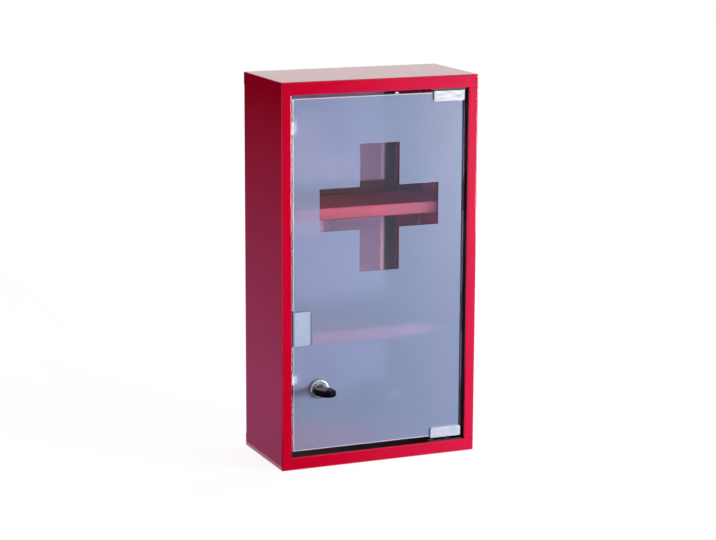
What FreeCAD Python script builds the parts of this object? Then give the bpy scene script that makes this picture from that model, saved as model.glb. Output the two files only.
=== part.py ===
"""Wall-hung medicine cabinet: folded steel boards, two shelves and an inset satin glass door.

Frame: +X to the right of someone facing the door, +Y towards the wall, +Z up. The origin is the
centre of the underside. All sizes are in millimetres.
"""
import FreeCAD, Part
import math
import os

Vector = FreeCAD.Vector

# Carcass: hollow boards folded from sheet steel
CABINET_WIDTH = 250.0
CABINET_DEPTH = 125.0
CABINET_HEIGHT = 460.0
SHEET = 1.0
BEND_RADIUS = 0.5
RAIL_HEIGHT = 15.5
STILE_WIDTH = 13.0
SEAM_GAP = 0.2
REAR_FLANGE = 9.0

# Back panel: a flat riveted border round a field that is pressed out to the wall
BACK_PRESS = 1.2
BACK_PRESS_SLOPE = 1.1
BACK_BORDER = 17.0
BACK_EDGE = 1.0
BACK_FIELD_RADIUS = 12.0
RIVET_RADIUS = 1.6
RIVET_HEAD_RADIUS = 3.0
RIVET_HEAD_HEIGHT = 1.0
RIVET_CLEARANCE = 0.05
RIVET_INSET = 5.5
SIDE_RIVETS = 4
END_RIVETS = 3
RIVET_END_MARGIN = 45.0

# Wall fixing holes in the back panel
HANGING_SPACING = 150.0
KEYHOLE_TOP_MARGIN = 45.0
KEYHOLE_ENTRY_RADIUS = 5.0
KEYHOLE_SLOT_RADIUS = 2.75
KEYHOLE_RISE = 9.0
LOWER_HOLE_RADIUS = 2.75
LOWER_HOLE_HEIGHT = 45.0

# Shelves and the pegs that carry them
LOWER_SHELF_TOP = 155.0
UPPER_SHELF_TOP = 305.0
SHELF_SETBACK = 37.5
SHELF_LIP = 14.5
SHELF_HEM = 6.0
SHELF_REAR_FLANGE = 10.0
SHELF_SIDE_CLEARANCE = 0.5
SHELF_REAR_CLEARANCE = 0.4
PEG_RADIUS = 2.5
PEG_FIT = 0.05
PEG_REACH = 7.0
PEG_TAIL = 4.0
PEG_GAP = 0.05
PEG_FRONT_INSET = 16.0
PEG_REAR_INSET = 16.0

# Door glass with its satin layer
GLASS_THICKNESS = 4.0
GLASS_RECESS = 4.0
SIDE_GAP = 2.5
TOP_GAP = 4.0
BOTTOM_GAP = 6.0
GLASS_CORNER = 2.0
GLASS_ARRIS = 0.5
SATIN_THICKNESS = 0.1
SATIN_BORDER = 0.8
SATIN_HINGE_BORDER = 3.5
CROSS_SPAN = 152.0
CROSS_ARM = 50.5
CROSS_TOP_MARGIN = 56.3

# Glass clamps on the hinge side and the pivots that they turn on
CLAMP_LENGTH = 39.5
CLAMP_SIDE_INSET = 1.5
CLAMP_REACH = 11.0
CLAMP_BRIDGE = 1.5
CLAMP_FRONT_WALL = 1.3
CLAMP_REAR_WALL = 3.0
CLAMP_CORNER = 2.0
CLAMP_LINER = 0.4
PIVOT_INSET = 5.5
PIVOT_RADIUS = 2.0
PIVOT_RUNNING_FIT = 0.05
PIVOT_TENON_RADIUS = 1.4
PIVOT_LENGTH = 8.0
PIVOT_PLATE_THICKNESS = 1.5
PIVOT_PLATE_LENGTH = 46.0
PIVOT_PLATE_WIDTH = 9.0
PIVOT_PLATE_TAIL = 6.0
PIVOT_PLATE_CORNER = 2.0
BUSH_RADIUS = 3.5
BUSH_COLLAR_RADIUS = 4.5
BUSH_LENGTH = 7.0
BUSH_PLAY = 0.1
SET_SCREW_RADIUS = 1.75
SET_SCREW_INSET = 10.0
SET_SCREW_LENGTH = 3.2
SET_SCREW_SOCKET_FLATS = 2.0
SET_SCREW_SOCKET_DEPTH = 1.6
PLATE_SCREW_RADIUS = 1.5
PLATE_SCREW_HEAD_RADIUS = 2.8
PLATE_SCREW_LENGTH = 8.0
PLATE_SCREW_INSET = 7.0
PLATE_SCREW_PITCH = 21.0
SCREW_CLEARANCE = 0.05

# Pull clip on the free edge, which is also the strike of the magnetic catch
CLIP_BOTTOM = 149.0
CLIP_HEIGHT = 41.0
CLIP_WIDTH = 25.4
CLIP_REAR_WIDTH = 17.0
CLIP_SHEET = 1.0
CLIP_BEND = 2.0
CLIP_LINER = 0.6
CLIP_FLARE = 1.2
CLIP_FLARE_RUN = 2.4
CLIP_CORNER = 1.5

# Magnetic catch on the left board, behind the clip
CATCH_HEIGHT = 40.0
CATCH_WIDTH = 14.0
CATCH_DEPTH = 11.0
CATCH_EDGE = 1.0
CATCH_AIR_GAP = 0.4
POLE_THICKNESS = 1.5
POLE_HEIGHT = 20.0
POLE_DEPTH = 8.0
POLE_PROUD = 0.8
MAGNET_THICKNESS = 5.0
MAGNET_DEPTH = 6.5
CATCH_SCREW_PITCH = 30.0
CATCH_SCREW_RADIUS = 1.6
CATCH_SCREW_HEAD_RADIUS = 3.0
CATCH_SCREW_HEAD = 2.0
CATCH_SCREW_EDGE = 0.6
CATCH_SCREW_TAIL = 4.0

# Buffers in the gap beside the free edge
UPPER_BUFFER_HEIGHT = 13.5
UPPER_BUFFER_DROP = 38.5
LOWER_BUFFER_HEIGHT = 9.5
LOWER_BUFFER_RISE = 93.0
BUFFER_LEG = 1.9
BUFFER_LEG_SETBACK = 1.0
BUFFER_FOOT_REACH = 9.0
BUFFER_FOOT = 4.0
BUFFER_GLASS_GAP = 0.3
BUFFER_STUD_RADIUS = 1.5
BUFFER_STUD_LENGTH = 4.0

# Cam lock and its key
LOCK_EDGE_DISTANCE = 32.9
LOCK_HEIGHT = 95.4
BARREL_RADIUS = 9.0
BARREL_GLASS_CLEARANCE = 0.5
ROSETTE_RADIUS = 11.5
ROSETTE_THICKNESS = 3.2
ROSETTE_ROUND = 1.6
ROSETTE_GROOVE_RADIUS = 8.2
ROSETTE_GROOVE_WIDTH = 0.6
ROSETTE_GROOVE_DEPTH = 0.5
INDEX_DOT_RADIUS = 0.9
INDEX_DOT_DEPTH = 0.6
INDEX_DOT_PLACE = 8.9
INDEX_DOT_ANGLE = 135.0
GASKET_THICKNESS = 0.5
GASKET_INSET = 0.5
BARREL_REAR = 18.0
LOCK_WASHER_RADIUS = 12.0
LOCK_WASHER_THICKNESS = 1.0
LOCK_NUT_ACROSS_FLATS = 24.0
LOCK_NUT_THICKNESS = 5.0
THREAD_FIT = 0.05
PLUG_RADIUS = 6.0
PLUG_RUNNING_FIT = 0.05
PLUG_RECESS = 0.3
PLUG_TENON = 7.0
TENON_FIT = 0.05
KEYWAY_WIDTH = 8.4
KEYWAY_HEIGHT = 2.4
KEYWAY_DEPTH = 15.5
KEYWAY_TILT = 5.0
CAM_REACH = 41.0
CAM_WIDTH = 14.0
CAM_THICKNESS = 2.0
CAM_TIP_ROUND = 3.5
CAM_PLAY = 0.1
CAM_SCREW_RADIUS = 2.0
CAM_SCREW_HEAD_RADIUS = 4.5
CAM_SCREW_HEAD = 2.5
CAM_SCREW_EDGE = 0.8
CAM_SCREW_DEPTH = 4.0
STRIKE_CLEARANCE = 1.0
KEY_FIT = 0.2
KEY_LENGTH = 15.0
KEY_TIP_CHAMFER = 2.0
KEY_SHOULDER_GAP = 1.5
KEY_HEAD_WIDTH = 26.0
KEY_HEAD_LENGTH = 27.0
KEY_HEAD_THICKNESS = 7.5
KEY_NECK_WIDTH = 13.0
KEY_HEAD_CORNER = 12.5
KEY_SHOULDER_ROUND = 11.0
KEY_HEAD_ROUND = 2.8
KEY_TANG = 12.0
KEY_RING_HOLE_RADIUS = 2.4
KEY_RING_HOLE_INSET = 5.5

# Places that follow from the sizes above
HALF_WIDTH = CABINET_WIDTH / 2
FRONT = -CABINET_DEPTH / 2
WALL = CABINET_DEPTH / 2
BOARD_REAR = WALL - BACK_PRESS - SHEET
OUTER_BEND = BEND_RADIUS + SHEET
JAMB = HALF_WIDTH - STILE_WIDTH
SILL = RAIL_HEIGHT
HEAD = CABINET_HEIGHT - RAIL_HEIGHT

GLASS_FRONT = FRONT + GLASS_RECESS
GLASS_REAR = GLASS_FRONT + GLASS_THICKNESS
SATIN_FRONT = GLASS_FRONT - SATIN_THICKNESS
GLASS_SIDE = JAMB - SIDE_GAP
GLASS_BOTTOM = SILL + BOTTOM_GAP
GLASS_TOP = HEAD - TOP_GAP
CROSS_CENTRE = GLASS_TOP - CROSS_TOP_MARGIN - CROSS_SPAN / 2

PIVOT_X = GLASS_SIDE - PIVOT_INSET
PIVOT_Y = (GLASS_FRONT + GLASS_REAR) / 2
CLAMP_RIGHT = GLASS_SIDE - CLAMP_SIDE_INSET
CLAMP_LEFT = CLAMP_RIGHT - CLAMP_LENGTH
CLAMP_FRONT = SATIN_FRONT - CLAMP_LINER - CLAMP_FRONT_WALL
CLAMP_REAR = GLASS_REAR + CLAMP_LINER + CLAMP_REAR_WALL

LOCK_X = -GLASS_SIDE + LOCK_EDGE_DISTANCE
GASKET_FRONT = SATIN_FRONT - GASKET_THICKNESS
ROSETTE_FRONT = GASKET_FRONT - ROSETTE_THICKNESS
PLUG_FRONT = ROSETTE_FRONT + PLUG_RECESS
BARREL_END = ROSETTE_FRONT + BARREL_REAR
CAM_FRONT = BARREL_END + CAM_PLAY
CAM_REAR = CAM_FRONT + CAM_THICKNESS

X_AXIS = Vector(1, 0, 0)
Y_AXIS = Vector(0, 1, 0)
Z_AXIS = Vector(0, 0, 1)
OVERCUT = 1.0
TINY = 1e-6


def block(x_span, y_span, z_span):
    """A box between two values on each axis."""
    corner = Vector(x_span[0], y_span[0], z_span[0])
    return Part.makeBox(x_span[1] - x_span[0], y_span[1] - y_span[0], z_span[1] - z_span[0], corner)


def rod(radius, start, axis, length):
    """A cylinder that runs from start along axis."""
    return Part.makeCylinder(radius, length, start, axis)


def straight_edges(shape, axis, test):
    """The straight edges of shape that run along axis and whose middle passes test."""
    found = []
    for edge in shape.Edges:
        if edge.Curve.TypeId != "Part::GeomLine":
            continue
        direction = edge.tangentAt(edge.FirstParameter)
        if abs(abs(direction.dot(axis)) - 1) < TINY and test(edge.CenterOfMass):
            found.append(edge)
    return found


def near(value, target):
    """Whether two lengths agree."""
    return abs(value - target) < TINY


def rounded_plate(outline_centre, half_width, half_height, radius, y_span):
    """An upright plate with rounded corners, centred on outline_centre in X and Z."""
    x, z = outline_centre
    plate = block((x - half_width, x + half_width), y_span, (z - half_height, z + half_height))
    return plate.makeFillet(radius, straight_edges(plate, Y_AXIS, lambda middle: True))


def folded_sheet(skin, thickness, bend, height):
    """A folded sheet: skin is one face's corners in XY, the metal lies to its left, height is its length."""
    directions = [(b - a).normalize() for a, b in zip(skin, skin[1:])]
    lefts = [Vector(-d.y, d.x, 0) for d in directions]
    near_skin = [skin[0]]
    far_skin = [skin[0] + lefts[0] * thickness]
    near_edges = []
    far_edges = []
    for index in range(1, len(skin) - 1):
        before, after = directions[index - 1], directions[index]
        turn = math.atan2(before.cross(after).z, before.dot(after))
        half_tangent = math.tan(abs(turn) / 2)
        inside_near = turn < 0
        far_corner = skin[index] + (lefts[index - 1] + lefts[index]) * (thickness / (1 + math.cos(turn)))
        sides = (
            (skin[index], near_skin, near_edges, inside_near),
            (far_corner, far_skin, far_edges, not inside_near),
        )
        for corner, points, edges, inside in sides:
            radius = bend if inside else bend + thickness
            start = corner - before * (radius * half_tangent)
            end = corner + after * (radius * half_tangent)
            inward = (after - before).normalize()
            middle = corner + inward * (radius / math.cos(turn / 2) - radius)
            edges.append(Part.LineSegment(points[-1], start).toShape())
            edges.append(Part.Arc(start, middle, end).toShape())
            points.append(end)
    near_edges.append(Part.LineSegment(near_skin[-1], skin[-1]).toShape())
    far_end = skin[-1] + lefts[-1] * thickness
    far_edges.append(Part.LineSegment(far_skin[-1], far_end).toShape())
    caps = [
        Part.LineSegment(skin[-1], far_end).toShape(),
        Part.LineSegment(skin[0], far_skin[0]).toShape(),
    ]
    outline = Part.Wire(Part.__sortEdges__(near_edges + far_edges + caps))
    return Part.Face(outline).extrude(Z_AXIS * height)


def end_board():
    """The bottom board: a shallow closed-front box; turned over, it is the top board."""
    outside = block((-HALF_WIDTH, HALF_WIDTH), (FRONT, BOARD_REAR), (0, RAIL_HEIGHT))
    folds = straight_edges(outside, X_AXIS, lambda middle: near(middle.z, 0))
    folds += straight_edges(outside, Y_AXIS, lambda middle: near(middle.z, 0))
    folds += straight_edges(outside, Z_AXIS, lambda middle: near(middle.y, FRONT))
    outside = outside.makeFillet(OUTER_BEND, folds)
    inside_x = HALF_WIDTH - SHEET
    cavity = block((-inside_x, inside_x), (FRONT + SHEET, BOARD_REAR - SHEET), (SHEET, RAIL_HEIGHT - SHEET))
    rear_mouth = block(
        (-inside_x, inside_x),
        (BOARD_REAR - SHEET - OVERCUT, BOARD_REAR + OVERCUT),
        (min(REAR_FLANGE, RAIL_HEIGHT - 2 * SHEET), RAIL_HEIGHT - SHEET),
    )
    return outside.cut(cavity).cut(rear_mouth)


def reveal_edge():
    """What rounds the sill's front edge between the two side boards."""
    corner = block((-JAMB, JAMB), (FRONT - OVERCUT, FRONT + OUTER_BEND), (SILL - OUTER_BEND, SILL + OVERCUT))
    round_bar = rod(OUTER_BEND, Vector(-JAMB, FRONT + OUTER_BEND, SILL - OUTER_BEND), X_AXIS, 2 * JAMB)
    return corner.cut(round_bar)


def turned_over(shape):
    """The same shape at the cabinet's other end, upside down."""
    flipped = shape.copy()
    flipped.rotate(Vector(0, 0, CABINET_HEIGHT / 2), Y_AXIS, 180)
    return flipped


def pivot_cuts(face, inward):
    """The bush hole and the plate's screw holes through a board's inner wall."""
    cuts = [rod(BUSH_RADIUS, Vector(PIVOT_X, PIVOT_Y, face) - inward * OVERCUT, inward, SHEET + 2 * OVERCUT)]
    for x in plate_screw_places():
        start = Vector(x, PIVOT_Y, face) - inward * OVERCUT
        cuts.append(rod(PLATE_SCREW_RADIUS + SCREW_CLEARANCE, start, inward, SHEET + 2 * OVERCUT))
    return cuts


def rivet_places():
    """Where the back panel is riveted: X, Z pairs along the side flanges and the board flanges."""
    places = []
    side_x = HALF_WIDTH - RIVET_INSET
    side_run = CABINET_HEIGHT - 2 * RIVET_END_MARGIN
    for index in range(SIDE_RIVETS):
        z = RIVET_END_MARGIN + side_run * index / (SIDE_RIVETS - 1)
        places += [(-side_x, z), (side_x, z)]
    end_run = CABINET_WIDTH - 2 * RIVET_END_MARGIN
    for index in range(END_RIVETS):
        x = -HALF_WIDTH + RIVET_END_MARGIN + end_run * index / (END_RIVETS - 1)
        places += [(x, RIVET_INSET), (x, CABINET_HEIGHT - RIVET_INSET)]
    return places


def rivet_holes():
    """One long drill for each rivet."""
    depth = 2 * SHEET + 2 * OVERCUT
    start = BOARD_REAR - SHEET - OVERCUT
    radius = RIVET_RADIUS + RIVET_CLEARANCE
    return [rod(radius, Vector(x, start, z), Y_AXIS, depth) for x, z in rivet_places()]


def peg_places():
    """Where the shelf pegs stand on each jamb: Y, Z pairs."""
    shelf_front = FRONT + SHELF_SETBACK
    front_y = shelf_front + PEG_FRONT_INSET
    rear_y = BOARD_REAR - PEG_REAR_INSET
    places = []
    for top in (LOWER_SHELF_TOP, UPPER_SHELF_TOP):
        z = top - SHEET - PEG_GAP - PEG_RADIUS
        places += [(front_y, z), (rear_y, z)]
    return places


def side_board():
    """The left side board: outer wall, front, inner wall and a rear flange, folded from one sheet."""
    skin = [
        Vector(-HALF_WIDTH + REAR_FLANGE, BOARD_REAR, 0),
        Vector(-HALF_WIDTH, BOARD_REAR, 0),
        Vector(-HALF_WIDTH, FRONT, 0),
        Vector(-JAMB, FRONT, 0),
        Vector(-JAMB, BOARD_REAR, 0),
    ]
    height = HEAD - SILL - 2 * SEAM_GAP
    board = folded_sheet(skin, SHEET, BEND_RADIUS, height)
    board.translate(Vector(0, 0, SILL + SEAM_GAP))
    holes = []
    for y, z in peg_places():
        start = Vector(-JAMB - SHEET - OVERCUT, y, z)
        holes.append(rod(PEG_RADIUS + PEG_FIT, start, X_AXIS, SHEET + 2 * OVERCUT))
    return board.cut(holes)


def mirrored(shape):
    """The same shape on the cabinet's other side."""
    return shape.mirror(Vector(0, 0, 0), X_AXIS)


def strike_slot():
    """The slot in the left inner wall that the lock's cam swings up into."""
    tip = math.hypot(CAM_REACH, CAM_WIDTH / 2)
    gap = JAMB + LOCK_X
    drop = math.sqrt(tip ** 2 - gap ** 2)
    return block(
        (-JAMB - SHEET - OVERCUT, -JAMB + OVERCUT),
        (CAM_FRONT - STRIKE_CLEARANCE, CAM_REAR + STRIKE_CLEARANCE),
        (LOCK_HEIGHT - drop - STRIKE_CLEARANCE, LOCK_HEIGHT + CAM_WIDTH / 2 + STRIKE_CLEARANCE),
    )


def left_board_cuts():
    """The left inner wall's slot for the cam and its holes for the buffers and the catch."""
    cuts = [strike_slot()]
    start_x = -JAMB - SHEET - OVERCUT
    for centre, height in buffer_places():
        start = Vector(start_x, buffer_stud_y(), centre)
        cuts.append(rod(BUFFER_STUD_RADIUS, start, X_AXIS, SHEET + 2 * OVERCUT))
    for z in catch_screw_heights():
        start = Vector(start_x, catch_screw_y(), z)
        cuts.append(rod(CATCH_SCREW_RADIUS + SCREW_CLEARANCE, start, X_AXIS, SHEET + 2 * OVERCUT))
    return cuts


def back_panel():
    """A sheet whose border is riveted to the boards and whose field is pressed out to the wall."""
    half_width = HALF_WIDTH - BACK_EDGE
    half_height = CABINET_HEIGHT / 2 - BACK_EDGE
    middle = (0, CABINET_HEIGHT / 2)
    border_rear = BOARD_REAR + SHEET
    panel = block(
        (-half_width, half_width),
        (BOARD_REAR, border_rear),
        (middle[1] - half_height, middle[1] + half_height),
    )
    field = (half_width - BACK_BORDER, half_height - BACK_BORDER)
    pressing = rounded_plate(middle, field[0], field[1], BACK_FIELD_RADIUS, (BOARD_REAR, WALL))
    pressing = pressing.makeChamfer(BACK_PRESS_SLOPE, rim(pressing, WALL))
    pocket = rounded_plate(
        middle,
        field[0] - SHEET,
        field[1] - SHEET,
        BACK_FIELD_RADIUS - SHEET,
        (BOARD_REAR - OVERCUT, WALL - SHEET),
    )
    panel = panel.fuse(pressing).cut(pocket).removeSplitter()
    return panel.cut(rivet_holes() + wall_holes())


def rim(shape, y):
    """The edges of shape that lie in the plane at y."""
    return [edge for edge in shape.Edges if near(edge.BoundBox.YMin, y) and near(edge.BoundBox.YMax, y)]


def wall_holes():
    """Two keyholes high up and two plain screw holes low down."""
    start_y = BOARD_REAR - OVERCUT
    depth = WALL - BOARD_REAR + 2 * OVERCUT
    keyhole_z = CABINET_HEIGHT - KEYHOLE_TOP_MARGIN
    holes = []
    for x in (-HANGING_SPACING / 2, HANGING_SPACING / 2):
        holes.append(rod(KEYHOLE_ENTRY_RADIUS, Vector(x, start_y, keyhole_z), Y_AXIS, depth))
        slot = block(
            (x - KEYHOLE_SLOT_RADIUS, x + KEYHOLE_SLOT_RADIUS),
            (start_y, start_y + depth),
            (keyhole_z, keyhole_z + KEYHOLE_RISE),
        )
        holes.append(slot)
        holes.append(rod(KEYHOLE_SLOT_RADIUS, Vector(x, start_y, keyhole_z + KEYHOLE_RISE), Y_AXIS, depth))
        holes.append(rod(LOWER_HOLE_RADIUS, Vector(x, start_y, LOWER_HOLE_HEIGHT), Y_AXIS, depth))
    return holes


def rivets():
    """Dome-headed rivets, their heads behind the back panel's border and their tails in the flanges."""
    made = []
    dome_radius = (RIVET_HEAD_RADIUS ** 2 + RIVET_HEAD_HEIGHT ** 2) / (2 * RIVET_HEAD_HEIGHT)
    for x, z in rivet_places():
        seat = Vector(x, BOARD_REAR + SHEET, z)
        shank = rod(RIVET_RADIUS, seat - Y_AXIS * 2 * SHEET, Y_AXIS, 2 * SHEET)
        dome = Part.makeSphere(dome_radius, seat - Y_AXIS * (dome_radius - RIVET_HEAD_HEIGHT))
        head = dome.common(rod(RIVET_HEAD_RADIUS + OVERCUT, seat, Y_AXIS, RIVET_HEAD_HEIGHT + OVERCUT))
        made.append(shank.fuse(head))
    return made


def shelf(top):
    """A folded shelf: plate, front lip with a hem, and a rear flange turned down."""
    shelf_front = FRONT + SHELF_SETBACK
    shelf_rear = BOARD_REAR - SHELF_REAR_CLEARANCE
    half_length = JAMB - SHELF_SIDE_CLEARANCE
    skin = [
        Vector(shelf_rear, -SHELF_REAR_FLANGE, 0),
        Vector(shelf_rear, 0, 0),
        Vector(shelf_front, 0, 0),
        Vector(shelf_front, -SHELF_LIP, 0),
        Vector(shelf_front + SHELF_HEM, -SHELF_LIP, 0),
    ]
    made = folded_sheet(skin, SHEET, BEND_RADIUS, 2 * half_length)
    upright = FreeCAD.Rotation(Y_AXIS, Z_AXIS, X_AXIS, "ZXY")
    made.Placement = FreeCAD.Placement(Vector(-half_length, 0, top), upright)
    return made


def pegs():
    """Plain pegs pushed into the inner walls: the shelves lie on them."""
    made = []
    for y, z in peg_places():
        wall = Vector(-JAMB, y, z)
        peg = rod(PEG_RADIUS, wall - X_AXIS * PEG_TAIL, X_AXIS, PEG_TAIL + PEG_REACH)
        made += [peg, mirrored(peg)]
    return made


def cross_prism(y_span):
    """The upright cross that stays clear in the satin layer."""
    long_half = CROSS_SPAN / 2
    short_half = CROSS_ARM / 2
    upright = block((-short_half, short_half), y_span, (CROSS_CENTRE - long_half, CROSS_CENTRE + long_half))
    bar = block((-long_half, long_half), y_span, (CROSS_CENTRE - short_half, CROSS_CENTRE + short_half))
    return upright.fuse(bar).removeSplitter()


def lock_rod(radius, y_span):
    """A cylinder on the lock's axis between two Y values."""
    return rod(radius, Vector(LOCK_X, y_span[0], LOCK_HEIGHT), Y_AXIS, y_span[1] - y_span[0])


def door_glass():
    """The door's glass with seamed edges and the lock's hole."""
    middle = (0, (GLASS_TOP + GLASS_BOTTOM) / 2)
    half_height = (GLASS_TOP - GLASS_BOTTOM) / 2
    glass = rounded_plate(middle, GLASS_SIDE, half_height, GLASS_CORNER, (GLASS_FRONT, GLASS_REAR))
    glass = glass.makeChamfer(GLASS_ARRIS, rim(glass, GLASS_FRONT) + rim(glass, GLASS_REAR))
    hole = (GLASS_FRONT - OVERCUT, GLASS_REAR + OVERCUT)
    return glass.cut(lock_rod(BARREL_RADIUS + BARREL_GLASS_CLEARANCE, hole))


def satin_layer():
    """The frosted layer on the glass's front: all but a clear rim, the cross and the lock's hole."""
    left = -GLASS_SIDE + SATIN_BORDER
    right = GLASS_SIDE - SATIN_HINGE_BORDER
    middle = ((left + right) / 2, (GLASS_TOP + GLASS_BOTTOM) / 2)
    half_width = (right - left) / 2
    half_height = (GLASS_TOP - GLASS_BOTTOM) / 2 - SATIN_BORDER
    layer = rounded_plate(middle, half_width, half_height, GLASS_CORNER, (SATIN_FRONT, GLASS_FRONT))
    through = (SATIN_FRONT - OVERCUT, GLASS_FRONT + OVERCUT)
    return layer.cut(cross_prism(through)).cut(lock_rod(BARREL_RADIUS + BARREL_GLASS_CLEARANCE, through))


def top_clamp():
    """The upper glass clamp: a U over the glass's edge, tapped in its thick rear wall."""
    bottom = GLASS_TOP - CLAMP_REACH
    body = block((CLAMP_LEFT, CLAMP_RIGHT), (CLAMP_FRONT, CLAMP_REAR), (bottom, GLASS_TOP + CLAMP_BRIDGE))
    body = body.makeFillet(CLAMP_CORNER, straight_edges(body, Y_AXIS, lambda middle: near(middle.z, bottom)))
    slot = block(
        (CLAMP_LEFT - OVERCUT, CLAMP_RIGHT + OVERCUT),
        (CLAMP_FRONT + CLAMP_FRONT_WALL, CLAMP_REAR - CLAMP_REAR_WALL),
        (bottom - OVERCUT, GLASS_TOP),
    )
    tenon_start = Vector(PIVOT_X, PIVOT_Y, GLASS_TOP - OVERCUT)
    cuts = [slot, rod(PIVOT_TENON_RADIUS, tenon_start, Z_AXIS, CLAMP_BRIDGE + 2 * OVERCUT)]
    for place in set_screw_places():
        cuts.append(rod(SET_SCREW_RADIUS + SCREW_CLEARANCE, place, Y_AXIS, CLAMP_REAR_WALL + OVERCUT))
    return body.cut(cuts)


def set_screw_places():
    """Where the upper clamp's set screws bear on the rear liner."""
    y = CLAMP_REAR - CLAMP_REAR_WALL
    z = GLASS_TOP - CLAMP_REACH / 2
    return [Vector(x, y, z) for x in (CLAMP_LEFT + SET_SCREW_INSET, CLAMP_RIGHT - SET_SCREW_INSET)]


def top_liners():
    """Soft strips between the upper clamp and the glass, front and rear."""
    z_span = (GLASS_TOP - CLAMP_REACH + CLAMP_CORNER, GLASS_TOP)
    x_span = (CLAMP_LEFT, CLAMP_RIGHT)
    front = block(x_span, (SATIN_FRONT - CLAMP_LINER, SATIN_FRONT), z_span)
    rear = block(x_span, (GLASS_REAR, GLASS_REAR + CLAMP_LINER), z_span)
    return [front, rear]


def top_set_screws():
    """Socket set screws in the upper clamp's rear wall."""
    made = []
    for place in set_screw_places():
        screw = rod(SET_SCREW_RADIUS, place, Y_AXIS, SET_SCREW_LENGTH)
        socket_start = place + Y_AXIS * (SET_SCREW_LENGTH - SET_SCREW_SOCKET_DEPTH)
        made.append(screw.cut(hexagon(SET_SCREW_SOCKET_FLATS, socket_start, SET_SCREW_LENGTH)))
    return made


def hexagon(across_flats, start, length):
    """A hexagonal prism that runs from start along +Y."""
    reach = across_flats / math.sqrt(3)
    angles = [math.radians(60 * index) for index in range(7)]
    corners = [start + Vector(reach * math.cos(angle), 0, reach * math.sin(angle)) for angle in angles]
    return Part.Face(Part.makePolygon(corners)).extrude(Y_AXIS * length)


def top_pivot_pin():
    """The pin riveted into the upper clamp's bridge."""
    bridge_top = GLASS_TOP + CLAMP_BRIDGE
    shaft = rod(PIVOT_RADIUS, Vector(PIVOT_X, PIVOT_Y, bridge_top), Z_AXIS, PIVOT_LENGTH)
    tenon = rod(PIVOT_TENON_RADIUS, Vector(PIVOT_X, PIVOT_Y, GLASS_TOP), Z_AXIS, CLAMP_BRIDGE)
    return shaft.fuse(tenon)


def lower_copy(shape):
    """An upper fitting turned over to the glass's lower edge, on the same side."""
    return shape.mirror(Vector(0, 0, (GLASS_TOP + GLASS_BOTTOM) / 2), Z_AXIS)


def plate_screw_places():
    """X of each pivot plate's two screws."""
    first = plate_left() + PLATE_SCREW_INSET
    return [first, first + PLATE_SCREW_PITCH]


def plate_left():
    """The left end of the pivot plates."""
    return PIVOT_X + PIVOT_PLATE_TAIL - PIVOT_PLATE_LENGTH


def pivot_plate(face, inward):
    """A plate screwed to a board's inner wall, with the bush's hole and countersunk screw holes."""
    thickness = PIVOT_PLATE_THICKNESS
    exposed = face - inward.z * thickness
    low = min(face, exposed)
    plate = block(
        (plate_left(), PIVOT_X + PIVOT_PLATE_TAIL),
        (PIVOT_Y - PIVOT_PLATE_WIDTH / 2, PIVOT_Y + PIVOT_PLATE_WIDTH / 2),
        (low, low + thickness),
    )
    plate = plate.makeFillet(PIVOT_PLATE_CORNER, straight_edges(plate, Z_AXIS, lambda middle: True))
    bush_start = Vector(PIVOT_X, PIVOT_Y, exposed) - inward * OVERCUT
    cuts = [rod(BUSH_RADIUS, bush_start, inward, thickness + 2 * OVERCUT)]
    for x in plate_screw_places():
        cuts.append(countersunk(x, exposed, inward, SCREW_CLEARANCE))
    return plate.cut(cuts)


def countersunk(x, exposed, inward, allowance):
    """A countersunk screw's form, flush with a plate's exposed face, grown by allowance."""
    start = Vector(x, PIVOT_Y, exposed)
    drop = PLATE_SCREW_HEAD_RADIUS - PLATE_SCREW_RADIUS
    depth = min(drop, PIVOT_PLATE_THICKNESS)
    head_radius = PLATE_SCREW_HEAD_RADIUS + allowance
    shank_radius = PLATE_SCREW_RADIUS + allowance
    cone = Part.makeCone(head_radius, shank_radius, depth, start, inward)
    return cone.fuse(rod(shank_radius, start, inward, PLATE_SCREW_LENGTH))


def plate_screws():
    """The pivot plates' screws, above and below the door."""
    made = []
    for exposed, inward in ((HEAD - PIVOT_PLATE_THICKNESS, Z_AXIS), (SILL + PIVOT_PLATE_THICKNESS, -Z_AXIS)):
        for x in plate_screw_places():
            made.append(countersunk(x, exposed, inward, 0))
    return made


def bush(face, inward, clamp_face):
    """A collared bush through the pivot plate and the board; the door turns on its collar."""
    exposed = face - inward.z * PIVOT_PLATE_THICKNESS
    collar = abs(exposed - clamp_face) - BUSH_PLAY
    seat = Vector(PIVOT_X, PIVOT_Y, exposed)
    barrel = rod(BUSH_RADIUS, seat, inward, BUSH_LENGTH)
    flange = rod(BUSH_COLLAR_RADIUS, seat - inward * collar, inward, collar)
    bore_start = seat - inward * (collar + OVERCUT)
    bore = rod(PIVOT_RADIUS + PIVOT_RUNNING_FIT, bore_start, inward, collar + BUSH_LENGTH + 2 * OVERCUT)
    return barrel.fuse(flange).cut(bore)


def pull_clip():
    """The sprung U of sheet on the glass's free edge; its front edge flares out as a finger pull."""
    offset = CLIP_LINER + CLIP_SHEET
    front = SATIN_FRONT - offset
    rear = GLASS_REAR + offset
    left = -GLASS_SIDE - offset
    tip = left + CLIP_WIDTH
    skin = [
        Vector(left + CLIP_REAR_WIDTH, rear, 0),
        Vector(left, rear, 0),
        Vector(left, front, 0),
        Vector(tip - CLIP_FLARE_RUN, front, 0),
        Vector(tip, front - CLIP_FLARE, 0),
    ]
    clip = folded_sheet(skin, CLIP_SHEET, CLIP_BEND, CLIP_HEIGHT)
    corners = [e for e in clip.Edges if near(e.Length, CLIP_SHEET) and e.CenterOfMass.x > tip - CLIP_SHEET]
    clip = clip.makeFillet(CLIP_CORNER, corners)
    clip.translate(Vector(0, 0, CLIP_BOTTOM))
    return clip


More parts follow.
